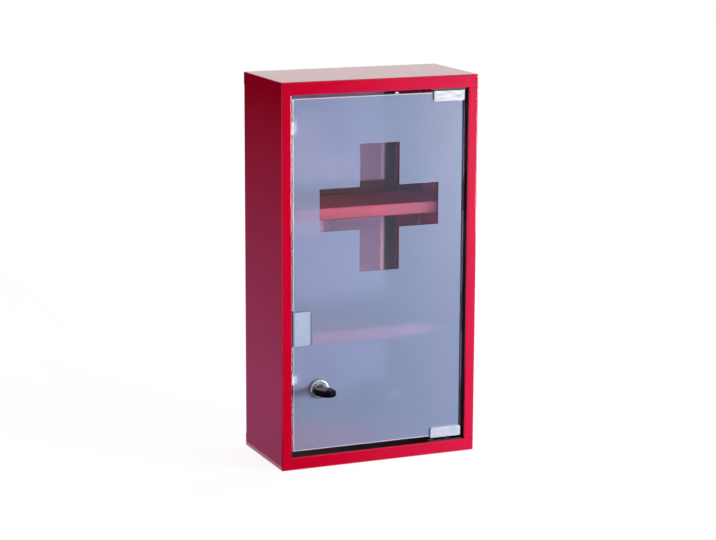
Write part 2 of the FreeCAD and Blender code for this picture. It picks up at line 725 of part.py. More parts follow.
def clip_liner():
    """The soft U between the clip and the glass."""
    flat = CLIP_WIDTH - CLIP_FLARE_RUN - 2 * CLIP_SHEET
    left = -GLASS_SIDE - CLIP_LINER
    z_span = (CLIP_BOTTOM, CLIP_BOTTOM + CLIP_HEIGHT)
    outside = block((left, left + flat), (SATIN_FRONT - CLIP_LINER, GLASS_REAR + CLIP_LINER), z_span)
    corners = straight_edges(outside, Z_AXIS, lambda middle: near(middle.x, left))
    outside = outside.makeFillet(CLIP_BEND, corners)
    inside = block(
        (-GLASS_SIDE, left + flat + OVERCUT),
        (SATIN_FRONT, GLASS_REAR),
        (CLIP_BOTTOM - OVERCUT, CLIP_BOTTOM + CLIP_HEIGHT + OVERCUT),
    )
    rear_end = left + CLIP_REAR_WIDTH - 2 * CLIP_SHEET
    trim = block((rear_end, left + flat + OVERCUT), (GLASS_REAR - TINY, GLASS_REAR + 2 * CLIP_LINER), z_span)
    return outside.cut(inside).cut(trim)


def catch_front():
    """Where the catch's pole plates end, an air gap behind the clip's rear leg."""
    return GLASS_REAR + CLIP_LINER + CLIP_SHEET + CATCH_AIR_GAP


def catch_centre():
    """The catch's height, level with the clip."""
    return CLIP_BOTTOM + CLIP_HEIGHT / 2


def catch_screw_y():
    """The catch screws' distance behind the front."""
    return catch_front() + POLE_PROUD + CATCH_DEPTH / 2


def catch_screw_heights():
    """The two heights of the catch's screws."""
    return [catch_centre() - CATCH_SCREW_PITCH / 2, catch_centre() + CATCH_SCREW_PITCH / 2]


def magnet_span():
    """The magnet's extent across the catch, centred between the case's sides."""
    middle = -JAMB + CATCH_WIDTH / 2
    return (middle - MAGNET_THICKNESS / 2, middle + MAGNET_THICKNESS / 2)


def catch_case():
    """The catch's plastic case, pocketed for the magnet and its poles, drilled for two screws."""
    front = catch_front() + POLE_PROUD
    half = CATCH_HEIGHT / 2
    z_span = (catch_centre() - half, catch_centre() + half)
    case = block((-JAMB, -JAMB + CATCH_WIDTH), (front, front + CATCH_DEPTH), z_span)
    case = case.makeFillet(CATCH_EDGE, straight_edges(case, Y_AXIS, lambda middle: middle.x > -JAMB + TINY))
    low, high = magnet_span()
    pocket = block(
        (low - POLE_THICKNESS, high + POLE_THICKNESS),
        (front - OVERCUT, catch_front() + POLE_DEPTH),
        (catch_centre() - POLE_HEIGHT / 2, catch_centre() + POLE_HEIGHT / 2),
    )
    cuts = [pocket]
    for z in catch_screw_heights():
        start = Vector(-JAMB - OVERCUT, catch_screw_y(), z)
        cuts.append(rod(CATCH_SCREW_RADIUS + SCREW_CLEARANCE, start, X_AXIS, CATCH_WIDTH + 2 * OVERCUT))
    return case.cut(cuts)


def catch_magnet():
    """The block magnet between the two pole plates."""
    rear = catch_front() + POLE_DEPTH
    half = POLE_HEIGHT / 2
    return block(magnet_span(), (rear - MAGNET_DEPTH, rear), (catch_centre() - half, catch_centre() + half))


def pole_plates():
    """The two steel plates that carry the pull to the clip."""
    low, high = magnet_span()
    y_span = (catch_front(), catch_front() + POLE_DEPTH)
    z_span = (catch_centre() - POLE_HEIGHT / 2, catch_centre() + POLE_HEIGHT / 2)
    return [block((start, start + POLE_THICKNESS), y_span, z_span) for start in (low - POLE_THICKNESS, high)]


def catch_screws():
    """Pan-head screws through the case into the left board."""
    made = []
    for z in catch_screw_heights():
        face = Vector(-JAMB + CATCH_WIDTH, catch_screw_y(), z)
        shank = rod(CATCH_SCREW_RADIUS, face, -X_AXIS, CATCH_WIDTH + CATCH_SCREW_TAIL)
        head = rod(CATCH_SCREW_HEAD_RADIUS, face, X_AXIS, CATCH_SCREW_HEAD)
        outer = [edge for edge in head.Edges if near(edge.BoundBox.XMin, face.x + CATCH_SCREW_HEAD)]
        made.append(head.makeChamfer(CATCH_SCREW_EDGE, outer).fuse(shank))
    return made


def buffer_places():
    """Centre and height of each buffer."""
    return [(SILL + LOWER_BUFFER_RISE, LOWER_BUFFER_HEIGHT), (HEAD - UPPER_BUFFER_DROP, UPPER_BUFFER_HEIGHT)]


def buffer_stud_y():
    """Where the buffers' studs enter the left board."""
    return GLASS_REAR + BUFFER_GLASS_GAP + BUFFER_FOOT / 2


def buffers():
    """Angled nylon buffers: a leg in the side gap, a foot behind the glass, a stud in the board."""
    made = []
    for centre, height in buffer_places():
        z_span = (centre - height / 2, centre + height / 2)
        foot_front = GLASS_REAR + BUFFER_GLASS_GAP
        foot_rear = foot_front + BUFFER_FOOT
        leg = block((-JAMB, -JAMB + BUFFER_LEG), (FRONT + BUFFER_LEG_SETBACK, foot_rear), z_span)
        foot = block((-JAMB, -JAMB + BUFFER_FOOT_REACH), (foot_front, foot_rear), z_span)
        stud = rod(BUFFER_STUD_RADIUS, Vector(-JAMB, buffer_stud_y(), centre), -X_AXIS, BUFFER_STUD_LENGTH)
        made.append(leg.fuse(foot).fuse(stud).removeSplitter())
    return made


def lock_barrel():
    """The lock's rosette and barrel, bored for the plug."""
    rosette = lock_rod(ROSETTE_RADIUS, (ROSETTE_FRONT, GASKET_FRONT))
    rosette = rosette.makeFillet(ROSETTE_ROUND, rim(rosette, ROSETTE_FRONT))
    barrel = lock_rod(BARREL_RADIUS, (GASKET_FRONT, BARREL_END))
    bore = lock_rod(PLUG_RADIUS + PLUG_RUNNING_FIT, (ROSETTE_FRONT - OVERCUT, BARREL_END + OVERCUT))
    groove_span = (ROSETTE_FRONT - OVERCUT, ROSETTE_FRONT + ROSETTE_GROOVE_DEPTH)
    groove = lock_rod(ROSETTE_GROOVE_RADIUS, groove_span)
    groove = groove.cut(lock_rod(ROSETTE_GROOVE_RADIUS - ROSETTE_GROOVE_WIDTH, groove_span))
    angle = math.radians(INDEX_DOT_ANGLE)
    dot_x = LOCK_X + INDEX_DOT_PLACE * math.cos(angle)
    dot_z = LOCK_HEIGHT + INDEX_DOT_PLACE * math.sin(angle)
    dot_start = Vector(dot_x, ROSETTE_FRONT - OVERCUT, dot_z)
    dot = rod(INDEX_DOT_RADIUS, dot_start, Y_AXIS, OVERCUT + INDEX_DOT_DEPTH)
    return rosette.fuse(barrel).cut([bore, groove, dot])


def lock_gasket():
    """The gasket between the rosette and the glass."""
    outer = lock_rod(ROSETTE_RADIUS - GASKET_INSET, (GASKET_FRONT, SATIN_FRONT))
    return outer.cut(lock_rod(BARREL_RADIUS + THREAD_FIT, (GASKET_FRONT - OVERCUT, SATIN_FRONT + OVERCUT)))


def lock_washer():
    """The washer behind the glass."""
    y_span = (GLASS_REAR, GLASS_REAR + LOCK_WASHER_THICKNESS)
    return lock_rod(LOCK_WASHER_RADIUS, y_span).cut(lock_rod(BARREL_RADIUS + THREAD_FIT, y_span))


def lock_nut():
    """The hexagonal nut that pulls the rosette against the glass."""
    start = GLASS_REAR + LOCK_WASHER_THICKNESS
    nut = hexagon(LOCK_NUT_ACROSS_FLATS, Vector(LOCK_X, start, LOCK_HEIGHT), LOCK_NUT_THICKNESS)
    through = (start - OVERCUT, start + LOCK_NUT_THICKNESS + OVERCUT)
    return nut.cut(lock_rod(BARREL_RADIUS + THREAD_FIT, through))


def tenon_block(half_side, y_span):
    """A square prism on the lock's axis."""
    x_span = (LOCK_X - half_side, LOCK_X + half_side)
    return block(x_span, y_span, (LOCK_HEIGHT - half_side, LOCK_HEIGHT + half_side))


def tilted(shape):
    """A shape made level with the keyway, turned to the keyway's angle about the lock's axis."""
    shape.rotate(Vector(LOCK_X, 0, LOCK_HEIGHT), Y_AXIS, KEYWAY_TILT)
    return shape


def lock_plug():
    """The turning plug: a keyway in front, a square tenon for the cam behind, tapped for its screw."""
    body = lock_rod(PLUG_RADIUS, (PLUG_FRONT, BARREL_END))
    tenon = tenon_block(PLUG_TENON / 2, (BARREL_END, CAM_REAR - CAM_PLAY))
    keyway = block(
        (LOCK_X - KEYWAY_WIDTH / 2, LOCK_X + KEYWAY_WIDTH / 2),
        (PLUG_FRONT - OVERCUT, PLUG_FRONT + KEYWAY_DEPTH),
        (LOCK_HEIGHT - KEYWAY_HEIGHT / 2, LOCK_HEIGHT + KEYWAY_HEIGHT / 2),
    )
    tapping = lock_rod(CAM_SCREW_RADIUS + SCREW_CLEARANCE, (CAM_REAR - CAM_SCREW_DEPTH, CAM_REAR + OVERCUT))
    return body.fuse(tenon).cut([tilted(keyway), tapping])


def lock_cam():
    """The cam: a round-ended arm that hangs down when the lock is open."""
    half = CAM_WIDTH / 2
    y_span = (CAM_FRONT, CAM_REAR)
    hub = lock_rod(half, y_span)
    arm = block((LOCK_X - half, LOCK_X + half), y_span, (LOCK_HEIGHT - CAM_REACH, LOCK_HEIGHT))
    tip = straight_edges(arm, Y_AXIS, lambda middle: middle.z < LOCK_HEIGHT - half)
    arm = arm.makeFillet(CAM_TIP_ROUND, tip)
    hole = tenon_block(PLUG_TENON / 2 + TENON_FIT, (CAM_FRONT - OVERCUT, CAM_REAR + OVERCUT))
    return hub.fuse(arm).removeSplitter().cut(hole)


def cam_screw():
    """The screw that holds the cam on the plug."""
    head = lock_rod(CAM_SCREW_HEAD_RADIUS, (CAM_REAR, CAM_REAR + CAM_SCREW_HEAD))
    head = head.makeChamfer(CAM_SCREW_EDGE, rim(head, CAM_REAR + CAM_SCREW_HEAD))
    return head.fuse(lock_rod(CAM_SCREW_RADIUS, (CAM_REAR - CAM_SCREW_DEPTH, CAM_REAR)))


def key_shoulder():
    """Where the key's plastic head begins, just in front of the rosette."""
    return ROSETTE_FRONT - KEY_SHOULDER_GAP


def level_blade():
    """The flat steel blade before it is turned, from inside the head to near the keyway's end."""
    half_width = KEYWAY_WIDTH / 2 - KEY_FIT
    half_thickness = KEYWAY_HEIGHT / 2 - KEY_FIT
    y_span = (key_shoulder() - KEY_TANG, PLUG_FRONT + KEY_LENGTH)
    blade = block(
        (LOCK_X - half_width, LOCK_X + half_width),
        y_span,
        (LOCK_HEIGHT - half_thickness, LOCK_HEIGHT + half_thickness),
    )
    tip = straight_edges(blade, Z_AXIS, lambda middle: near(middle.y, y_span[1]))
    return blade.makeChamfer(KEY_TIP_CHAMFER, tip)


def level_head():
    """The moulded head before it is turned: an oval bow with a ring hole, moulded over the tang."""
    neck = KEY_NECK_WIDTH / 2
    wide = KEY_HEAD_WIDTH / 2
    start = key_shoulder()
    end = start - KEY_HEAD_LENGTH
    swell = start - (wide - neck)
    half_thickness = KEY_HEAD_THICKNESS / 2
    outline = [(-neck, start), (-wide, swell), (-wide, end), (wide, end), (wide, swell), (neck, start)]
    corners = [Vector(LOCK_X + x, y, LOCK_HEIGHT - half_thickness) for x, y in outline + outline[:1]]
    head = Part.Face(Part.makePolygon(corners)).extrude(Z_AXIS * KEY_HEAD_THICKNESS)
    bow = straight_edges(head, Z_AXIS, lambda middle: near(middle.y, end))
    head = head.makeFillet(KEY_HEAD_CORNER, bow)
    shoulders = straight_edges(head, Z_AXIS, lambda middle: near(middle.y, swell))
    head = head.makeFillet(KEY_SHOULDER_ROUND, shoulders)
    faces = (LOCK_HEIGHT - half_thickness, LOCK_HEIGHT + half_thickness)
    rims = [e for e in head.Edges for z in faces if near(e.BoundBox.ZMin, z) and near(e.BoundBox.ZMax, z)]
    head = head.makeFillet(KEY_HEAD_ROUND, rims)
    hole_start = Vector(LOCK_X, end + KEY_RING_HOLE_INSET, LOCK_HEIGHT - KEY_HEAD_THICKNESS)
    hole = rod(KEY_RING_HOLE_RADIUS, hole_start, Z_AXIS, 2 * KEY_HEAD_THICKNESS)
    return head.cut([hole, level_blade()])


def save(name, shapes):
    """Write one node: a single solid or a group of separate ones."""
    shape = shapes if isinstance(shapes, Part.Shape) else Part.makeCompound(shapes)
    shape.exportStep(f"parts/{name}.step")


def build_carcass():
    """Boards, back panel, rivets, shelves and pegs."""
    bottom = end_board().cut(reveal_edge())
    top = turned_over(bottom)
    holes = rivet_holes()
    save("bottom_board", bottom.cut(pivot_cuts(SILL, -Z_AXIS) + holes))
    save("top_board", top.cut(pivot_cuts(HEAD, Z_AXIS) + holes))
    save("side_board_left", side_board().cut(left_board_cuts() + holes))
    save("side_board_right", mirrored(side_board()).cut(holes))
    save("back_panel", back_panel())
    save("back_rivets", rivets())
    save("lower_shelf", shelf(LOWER_SHELF_TOP))
    save("upper_shelf", shelf(UPPER_SHELF_TOP))
    save("shelf_pegs", pegs())


def build_fittings():
    """What is fixed to the carcass for the door: pivots, catch and buffers."""
    save("pivot_plate_top", pivot_plate(HEAD, Z_AXIS))
    save("pivot_plate_bottom", pivot_plate(SILL, -Z_AXIS))
    save("pivot_plate_screws", plate_screws())
    save("pivot_bush_top", bush(HEAD, Z_AXIS, GLASS_TOP + CLAMP_BRIDGE))
    save("pivot_bush_bottom", bush(SILL, -Z_AXIS, GLASS_BOTTOM - CLAMP_BRIDGE))
    save("catch_case", catch_case())
    save("catch_magnet", catch_magnet())
    save("catch_pole_plates", pole_plates())
    save("catch_screws", catch_screws())
    save("door_buffers", buffers())


def build_door():
    """The glass, its satin layer, the clamps with their pins, and the pull clip."""
    save("door_glass", door_glass())
    save("satin_layer", satin_layer())
    clamp = top_clamp()
    save("hinge_clamp_top", clamp)
    save("hinge_clamp_bottom", lower_copy(clamp))
    pin = top_pivot_pin()
    save("pivot_pin_top", pin)
    save("pivot_pin_bottom", lower_copy(pin))
    liners = top_liners()
    save("clamp_liners", liners + [lower_copy(liner) for liner in liners])
    screws = top_set_screws()
    save("clamp_set_screws", screws + [lower_copy(screw) for screw in screws])
    save("pull_clip", pull_clip())
    save("clip_liner", clip_liner())


def build_lock():
    """The cam lock on the door and the key in it."""
    save("lock_barrel", lock_barrel())
    save("lock_gasket", lock_gasket())
    save("lock_washer", lock_washer())
    save("lock_nut", lock_nut())
    save("lock_plug", lock_plug())
    save("lock_cam", lock_cam())
    save("cam_screw", cam_screw())
    save("key_blade", tilted(level_blade()))
    save("key_head", tilted(level_head()))


os.makedirs("parts", exist_ok=True)
build_carcass()
build_fittings()
build_door()
build_lock()
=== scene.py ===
"""Looks of the medicine cabinet: red powder-coated steel round a satin glass door.

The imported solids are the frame. Each class below holds one sub-assembly's sizes, in millimetres, and
builds the meshes that stand for its solids; each finish is a small frozen dataclass.
"""
import logging
import math
from dataclasses import dataclass
from enum import Enum
from typing import Iterable, Sequence

import bmesh
import bpy
from mathutils import Euler, Matrix, Vector


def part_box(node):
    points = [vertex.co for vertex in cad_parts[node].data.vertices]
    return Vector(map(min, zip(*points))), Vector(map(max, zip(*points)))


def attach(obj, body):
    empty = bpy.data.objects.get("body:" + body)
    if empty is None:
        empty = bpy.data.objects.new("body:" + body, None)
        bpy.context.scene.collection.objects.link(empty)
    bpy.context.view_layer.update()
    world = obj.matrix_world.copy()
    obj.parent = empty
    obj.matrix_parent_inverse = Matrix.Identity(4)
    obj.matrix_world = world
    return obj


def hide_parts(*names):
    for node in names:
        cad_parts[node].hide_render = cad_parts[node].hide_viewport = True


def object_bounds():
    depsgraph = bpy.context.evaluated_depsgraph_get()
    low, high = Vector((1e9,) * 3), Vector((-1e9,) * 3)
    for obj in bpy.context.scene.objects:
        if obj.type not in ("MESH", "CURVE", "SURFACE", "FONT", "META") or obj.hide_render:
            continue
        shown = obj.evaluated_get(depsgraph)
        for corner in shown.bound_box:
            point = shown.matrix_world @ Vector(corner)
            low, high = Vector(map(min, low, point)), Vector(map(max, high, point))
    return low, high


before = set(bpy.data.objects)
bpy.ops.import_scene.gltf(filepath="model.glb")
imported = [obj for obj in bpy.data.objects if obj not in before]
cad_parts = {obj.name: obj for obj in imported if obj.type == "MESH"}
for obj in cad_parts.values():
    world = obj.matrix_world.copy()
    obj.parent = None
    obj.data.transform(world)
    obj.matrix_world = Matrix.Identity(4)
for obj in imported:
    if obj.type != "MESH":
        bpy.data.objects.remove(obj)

CAD_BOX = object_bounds()
LOG = logging.getLogger("medicine_cabinet")

MM = 0.001
WELD_MM = 0.001  # points nearer than this are one point
FLAT_DEGREES = 0.3  # facets that meet at less than this are one flat
FLAT_WEIGHT = 90  # how far a normal leans on the larger face beside it, of 100
WHITE = (1.0, 1.0, 1.0, 1.0)
BLACK = (0.0, 0.0, 0.0, 1.0)
NOISE_LOW, NOISE_HIGH = 0.3, 0.7  # a noise keeps mostly to this span
MIX_FACTOR, MIX_FIRST, MIX_SECOND, MIX_COLOUR = 0, 6, 7, 2  # a colour Mix node's sockets, by place
RANDOM_MOST, RANDOM_VALUE = 3, 1  # a Random Value node's float sockets, by place

Pair = tuple[float, float]
Triple = tuple[float, float, float]
Tree = bpy.types.NodeTree
Socket = bpy.types.NodeSocket
Material = bpy.types.Material
Mesh = bpy.types.Mesh
Piece = bpy.types.Object
Point = bmesh.types.BMVert
Grid = list[list[Point]]


class Body(str, Enum):
    """The rigid bodies that pieces ride on."""

    CABINET = "cabinet"
    DOOR = "door"
    LOCK_CORE = "lock_core"
    KEY = "key"


class Axis(Enum):
    """Which way a turned piece, made along +Z, is laid down."""

    UP = (0.0, 0.0, 0.0)
    DOWN = (math.pi, 0.0, 0.0)
    BACK = (-math.pi / 2, 0.0, 0.0)
    RIGHT = (0.0, math.pi / 2, 0.0)


class PaneFinish(Enum):
    """The pane's material slots, in order."""

    CLEAR = 0
    ETCHED = 1
    GROUND = 2


def linear(colour: str) -> tuple[float, float, float, float]:
    """Turns an sRGB hex colour into linear light.

    Args:
        colour: Six hex digits after a hash sign.

    Returns:
        Red, green, blue and an alpha of one.
    """
    parts = [int(colour[i:i + 2], 16) / 255 for i in (1, 3, 5)]
    red, green, blue = (c / 12.92 if c <= 0.04045 else ((c + 0.055) / 1.055) ** 2.4 for c in parts)
    return red, green, blue, 1.0


def add_node(tree: Tree, kind: str, inputs: dict | None = None, **settings: object) -> bpy.types.Node:
    """Adds one node with its settings, and links or sets its inputs.

    Args:
        tree: The node tree that takes it.
        kind: The node's type name.
        inputs: Socket name or index to a socket to link from, or to a plain value.
        settings: The node's own properties.

    Returns:
        The new node.
    """
    node = tree.nodes.new(kind)
    for key, value in settings.items():
        setattr(node, key, value)
    for key, value in (inputs or {}).items():
        if isinstance(value, bpy.types.NodeSocket):
            tree.links.new(value, node.inputs[key])
        else:
            node.inputs[key].default_value = value
    return node


def seen_directly(tree: Tree) -> Socket:
    """One for rays from the camera, off metal or through glass, and zero for bounced light.

    Args:
        tree: The node tree that asks.

    Returns:
        The socket with the answer.
    """
    path = add_node(tree, "ShaderNodeLightPath").outputs
    seen = path["Is Camera Ray"]
    for kind in ("Is Glossy Ray", "Is Transmission Ray"):
        seen = add_node(tree, "ShaderNodeMath", {0: seen, 1: path[kind]}, operation="MAXIMUM").outputs[0]
    return seen


def per_metre(size_mm: float) -> float:
    """The texture scale whose pattern repeats at a real size."""
    return 1 / (size_mm * MM)


class Shading:
    """A material's tree with one Principled shader and Object coordinates."""

    def __init__(self, name: str, **sockets: object) -> None:
        """Makes the material and sets the shader's constant sockets.

        Args:
            name: The material's name.
            sockets: Shader socket name, with spaces as underscores, to its value.
        """
        self.material = bpy.data.materials.new(name)
        self.material.use_nodes = True
        self.tree = self.material.node_tree
        self.tree.nodes.clear()
        named = {key.replace("_", " "): value for key, value in sockets.items()}
        self.shader = add_node(self.tree, "ShaderNodeBsdfPrincipled", named)
        add_node(self.tree, "ShaderNodeOutputMaterial", {"Surface": self.shader.outputs["BSDF"]})
        self.place = add_node(self.tree, "ShaderNodeTexCoord").outputs["Object"]

    def noise(self, size_mm: float, detail: float = 2.0, stretch: Triple = (1.0, 1.0, 1.0)) -> Socket:
        """A noise whose lumps have a real size.

        Args:
            size_mm: The size of the lumps.
            detail: How much finer noise lies over them.
            stretch: A small value draws the lumps out along its axis.

        Returns:
            The noise's value.
        """
        mapped = add_node(self.tree, "ShaderNodeMapping", {"Vector": self.place, "Scale": stretch})
        made = {"Vector": mapped.outputs["Vector"], "Scale": per_metre(size_mm), "Detail": detail}
        return add_node(self.tree, "ShaderNodeTexNoise", made).outputs["Fac"]

    def between(self, factor: Socket, low: float, high: float) -> Socket:
        """Maps a noise's usual span onto a range of values.

        Args:
            factor: The noise.
            low: The range's least value.
            high: The range's greatest value.

        Returns:
            The value in the range.
        """
        span = {"From Min": NOISE_LOW, "From Max": NOISE_HIGH, "To Min": low, "To Max": high}
        return add_node(self.tree, "ShaderNodeMapRange", {"Value": factor} | span).outputs["Result"]

    def link(self, socket: str, source: Socket) -> None:
        """Feeds one of the shader's sockets."""
        self.tree.links.new(source, self.shader.inputs[socket])

    def mixed(self, factor: Socket, first: str, second: str) -> Socket:
        """Blends two hex colours.

        Args:
            factor: Zero for the first colour, one for the second.
            first: The one colour.
            second: The other colour.

        Returns:
            The blended colour.
        """
        made = {MIX_FACTOR: factor, MIX_FIRST: linear(first), MIX_SECOND: linear(second)}
        return add_node(self.tree, "ShaderNodeMix", made, data_type="RGBA").outputs[MIX_COLOUR]

    def colours(self, factor: Socket, dark: str, pale: str) -> None:
        """Lets the base colour wander between two hex colours."""
        self.link("Base Color", self.mixed(self.between(factor, 0.0, 1.0), dark, pale))

    def bump(self, height: Socket, depth_mm: float, strength: float = 1.0) -> None:
        """Roughens the surface by a real depth."""
        made = {"Height": height, "Distance": depth_mm * MM, "Strength": strength}
        self.link("Normal", add_node(self.tree, "ShaderNodeBump", made).outputs["Normal"])


@dataclass(frozen=True)
class PowderCoat:
    """Red polyester powder coat on sheet steel: semi-gloss, with a faint orange peel from the oven."""

    name: str = "red_powder_coat"
    colour: str = "#c8002c"
    deep: str = "#c10029"
    roughness: float = 0.11
    wander: float = 0.01
    peel_mm: float = 4.0
    peel_depth_mm: float = 0.002
    cloud_mm: float = 90.0
    ior: float = 1.5

    def material(self) -> Material:
        """Builds the paint; the peel is drawn coarser than life so that it shows.

        Returns:
            The material.
        """
        paint = Shading(self.name, IOR=self.ior)
        paint.colours(paint.noise(self.cloud_mm), self.deep, self.colour)
        peel = paint.noise(self.peel_mm, detail=1.0)
        gloss = paint.between(peel, self.roughness - self.wander, self.roughness + self.wander)
        paint.link("Roughness", gloss)
        paint.bump(peel, self.peel_depth_mm)
        return paint.material


@dataclass(frozen=True)
class RebateWithPaintedShade:
    """The boards' inner faces, with painted shade: nearly black behind the door's edge, where the gaps lie in
    shade, then red.
    """

    colour: str = "#c8002c"
    shade_colour: str = "#0c0206"
    shade_to_mm: float = -36.0
    full_from_mm: float = -16.0
    roughness: float = 0.5
    ior: float = 1.5

    def material(self) -> Material:
        """Builds the paint, whose painted shade fades to red with depth behind the front.

        Returns:
            The material.
        """
        paint = Shading("red_paint_with_painted_gap_shade", IOR=self.ior, Roughness=self.roughness)
        depth = add_node(paint.tree, "ShaderNodeSeparateXYZ", {"Vector": paint.place}).outputs["Y"]
        span = {"Value": depth, "From Min": self.shade_to_mm * MM, "From Max": self.full_from_mm * MM}
        shade_fade = add_node(paint.tree, "ShaderNodeMapRange", span).outputs["Result"]
        paint.colours(shade_fade, self.shade_colour, self.colour)
        return paint.material


@dataclass(frozen=True)
class PlatedMetal:
    """A plated or polished metal: its tint, gloss and the fine marks that the finishing left."""

    name: str
    colour: str
    dull: str
    roughness: float
    grain_mm: float
    grain_depth_mm: float
    stretch: Triple = (1.0, 1.0, 1.0)
    cloud_mm: float = 14.0
    wander: Pair = (0.8, 1.25)
    relief: float = 0.6

    def material(self) -> Material:
        """Builds the metal: cloudy tint, wandering gloss and a grain that is drawn coarser than life to show.

        Returns:
            The material.
        """
        metal = Shading(self.name, Metallic=1.0)
        metal.colours(metal.noise(self.cloud_mm), self.dull, self.colour)
        grain = metal.noise(self.grain_mm, detail=3.0, stretch=self.stretch)
        least, most = (self.roughness * share for share in self.wander)
        metal.link("Roughness", metal.between(grain, least, most))
        metal.bump(grain, self.grain_depth_mm, self.relief)
        return metal.material


@dataclass(frozen=True)
class Moulding:
    """A moulded plastic or rubber: its colour, gloss and mould grain."""

    name: str
    colour: str
    deep: str
    roughness: float
    grain_mm: float
    grain_depth_mm: float
    gloss: float = 0.5
    ior: float = 1.49
    cloud_grains: float = 12.0
    wander: Pair = (0.85, 1.2)

    def material(self) -> Material:
        """Builds the plastic with a mould grain, drawn coarser than life so that it shows.

        Returns:
            The material.
        """
        plastic = Shading(self.name, IOR=self.ior, Specular_IOR_Level=self.gloss)
        grain = plastic.noise(self.grain_mm, detail=2.0)
        plastic.colours(plastic.noise(self.grain_mm * self.cloud_grains), self.deep, self.colour)
        least, most = (self.roughness * share for share in self.wander)
        plastic.link("Roughness", plastic.between(grain, least, most))
        plastic.bump(grain, self.grain_depth_mm)
        return plastic.material


@dataclass(frozen=True)
class ClearGlass:
    """Float glass: clear, with a faint green-blue body tint and polish that is not quite perfect."""

    tint: str = "#f2f8f8"
    roughness: float = 0.012
    cloud_mm: float = 30.0
    ior: float = 1.52

    def material(self) -> Material:
        """Builds the glass with a slight wander in its polish.

        Returns:
            The material.
        """
        body = {"Base_Color": linear(self.tint), "IOR": self.ior, "Transmission_Weight": 1.0}
        glass = Shading("clear_float_glass", **body)
        glass.link("Roughness", glass.between(glass.noise(self.cloud_mm), 0.0, self.roughness))
        return glass.material


@dataclass(frozen=True)
class SatinGlass:
    """Etched or ground glass: its face scatters light, so what stands behind shows only as a soft blur."""

    name: str = "satin_etched_glass"
    colour: str = "#acc1e8"
    deep: str = "#a7bbe2"
    roughness: float = 0.24
    transmission: float = 0.56
    sheen: float = 0.12
    wander: float = 0.02
    cloud_mm: float = 120.0
    etch_mm: float = 1.6
    etch_depth_mm: float = 0.006
    ior: float = 1.52

    def material(self) -> Material:
        """Builds the etched face; the etch is drawn coarser than life so that it shows.

        Returns:
            The material.
        """
        body = {"IOR": self.ior, "Specular_IOR_Level": self.sheen, "Transmission_Weight": self.transmission}
        etched = Shading(self.name, **body)
        etched.colours(etched.noise(self.cloud_mm), self.deep, self.colour)
        etch = etched.noise(self.etch_mm, detail=1.0)
        gloss = etched.between(etch, self.roughness - self.wander, self.roughness + self.wander)
        etched.link("Roughness", gloss)
        etched.bump(etch, self.etch_depth_mm)
        return etched.material


@dataclass(frozen=True)
class StudioPaper:
    """The floor's white paper: it shows white to the camera and keeps a soft shadow."""

    colour: str = "#ededed"
    seen_colour: str = "#949494"
    glow: float = 0.84
    roughness: float = 0.9

    def material(self) -> Material:
        """Builds the paper: plain to bounced light, lifted to white to the eye, in metal and through glass.

        Returns:
            The material.
        """
        paper = Shading("studio_paper", Roughness=self.roughness, Emission_Color=WHITE)
        seen = seen_directly(paper.tree)
        paper.link("Base Color", paper.mixed(seen, self.colour, self.seen_colour))
        glow = add_node(paper.tree, "ShaderNodeMath", {0: seen, 1: self.glow}, operation="MULTIPLY")
        paper.link("Emission Strength", glow.outputs[0])
        return paper.material


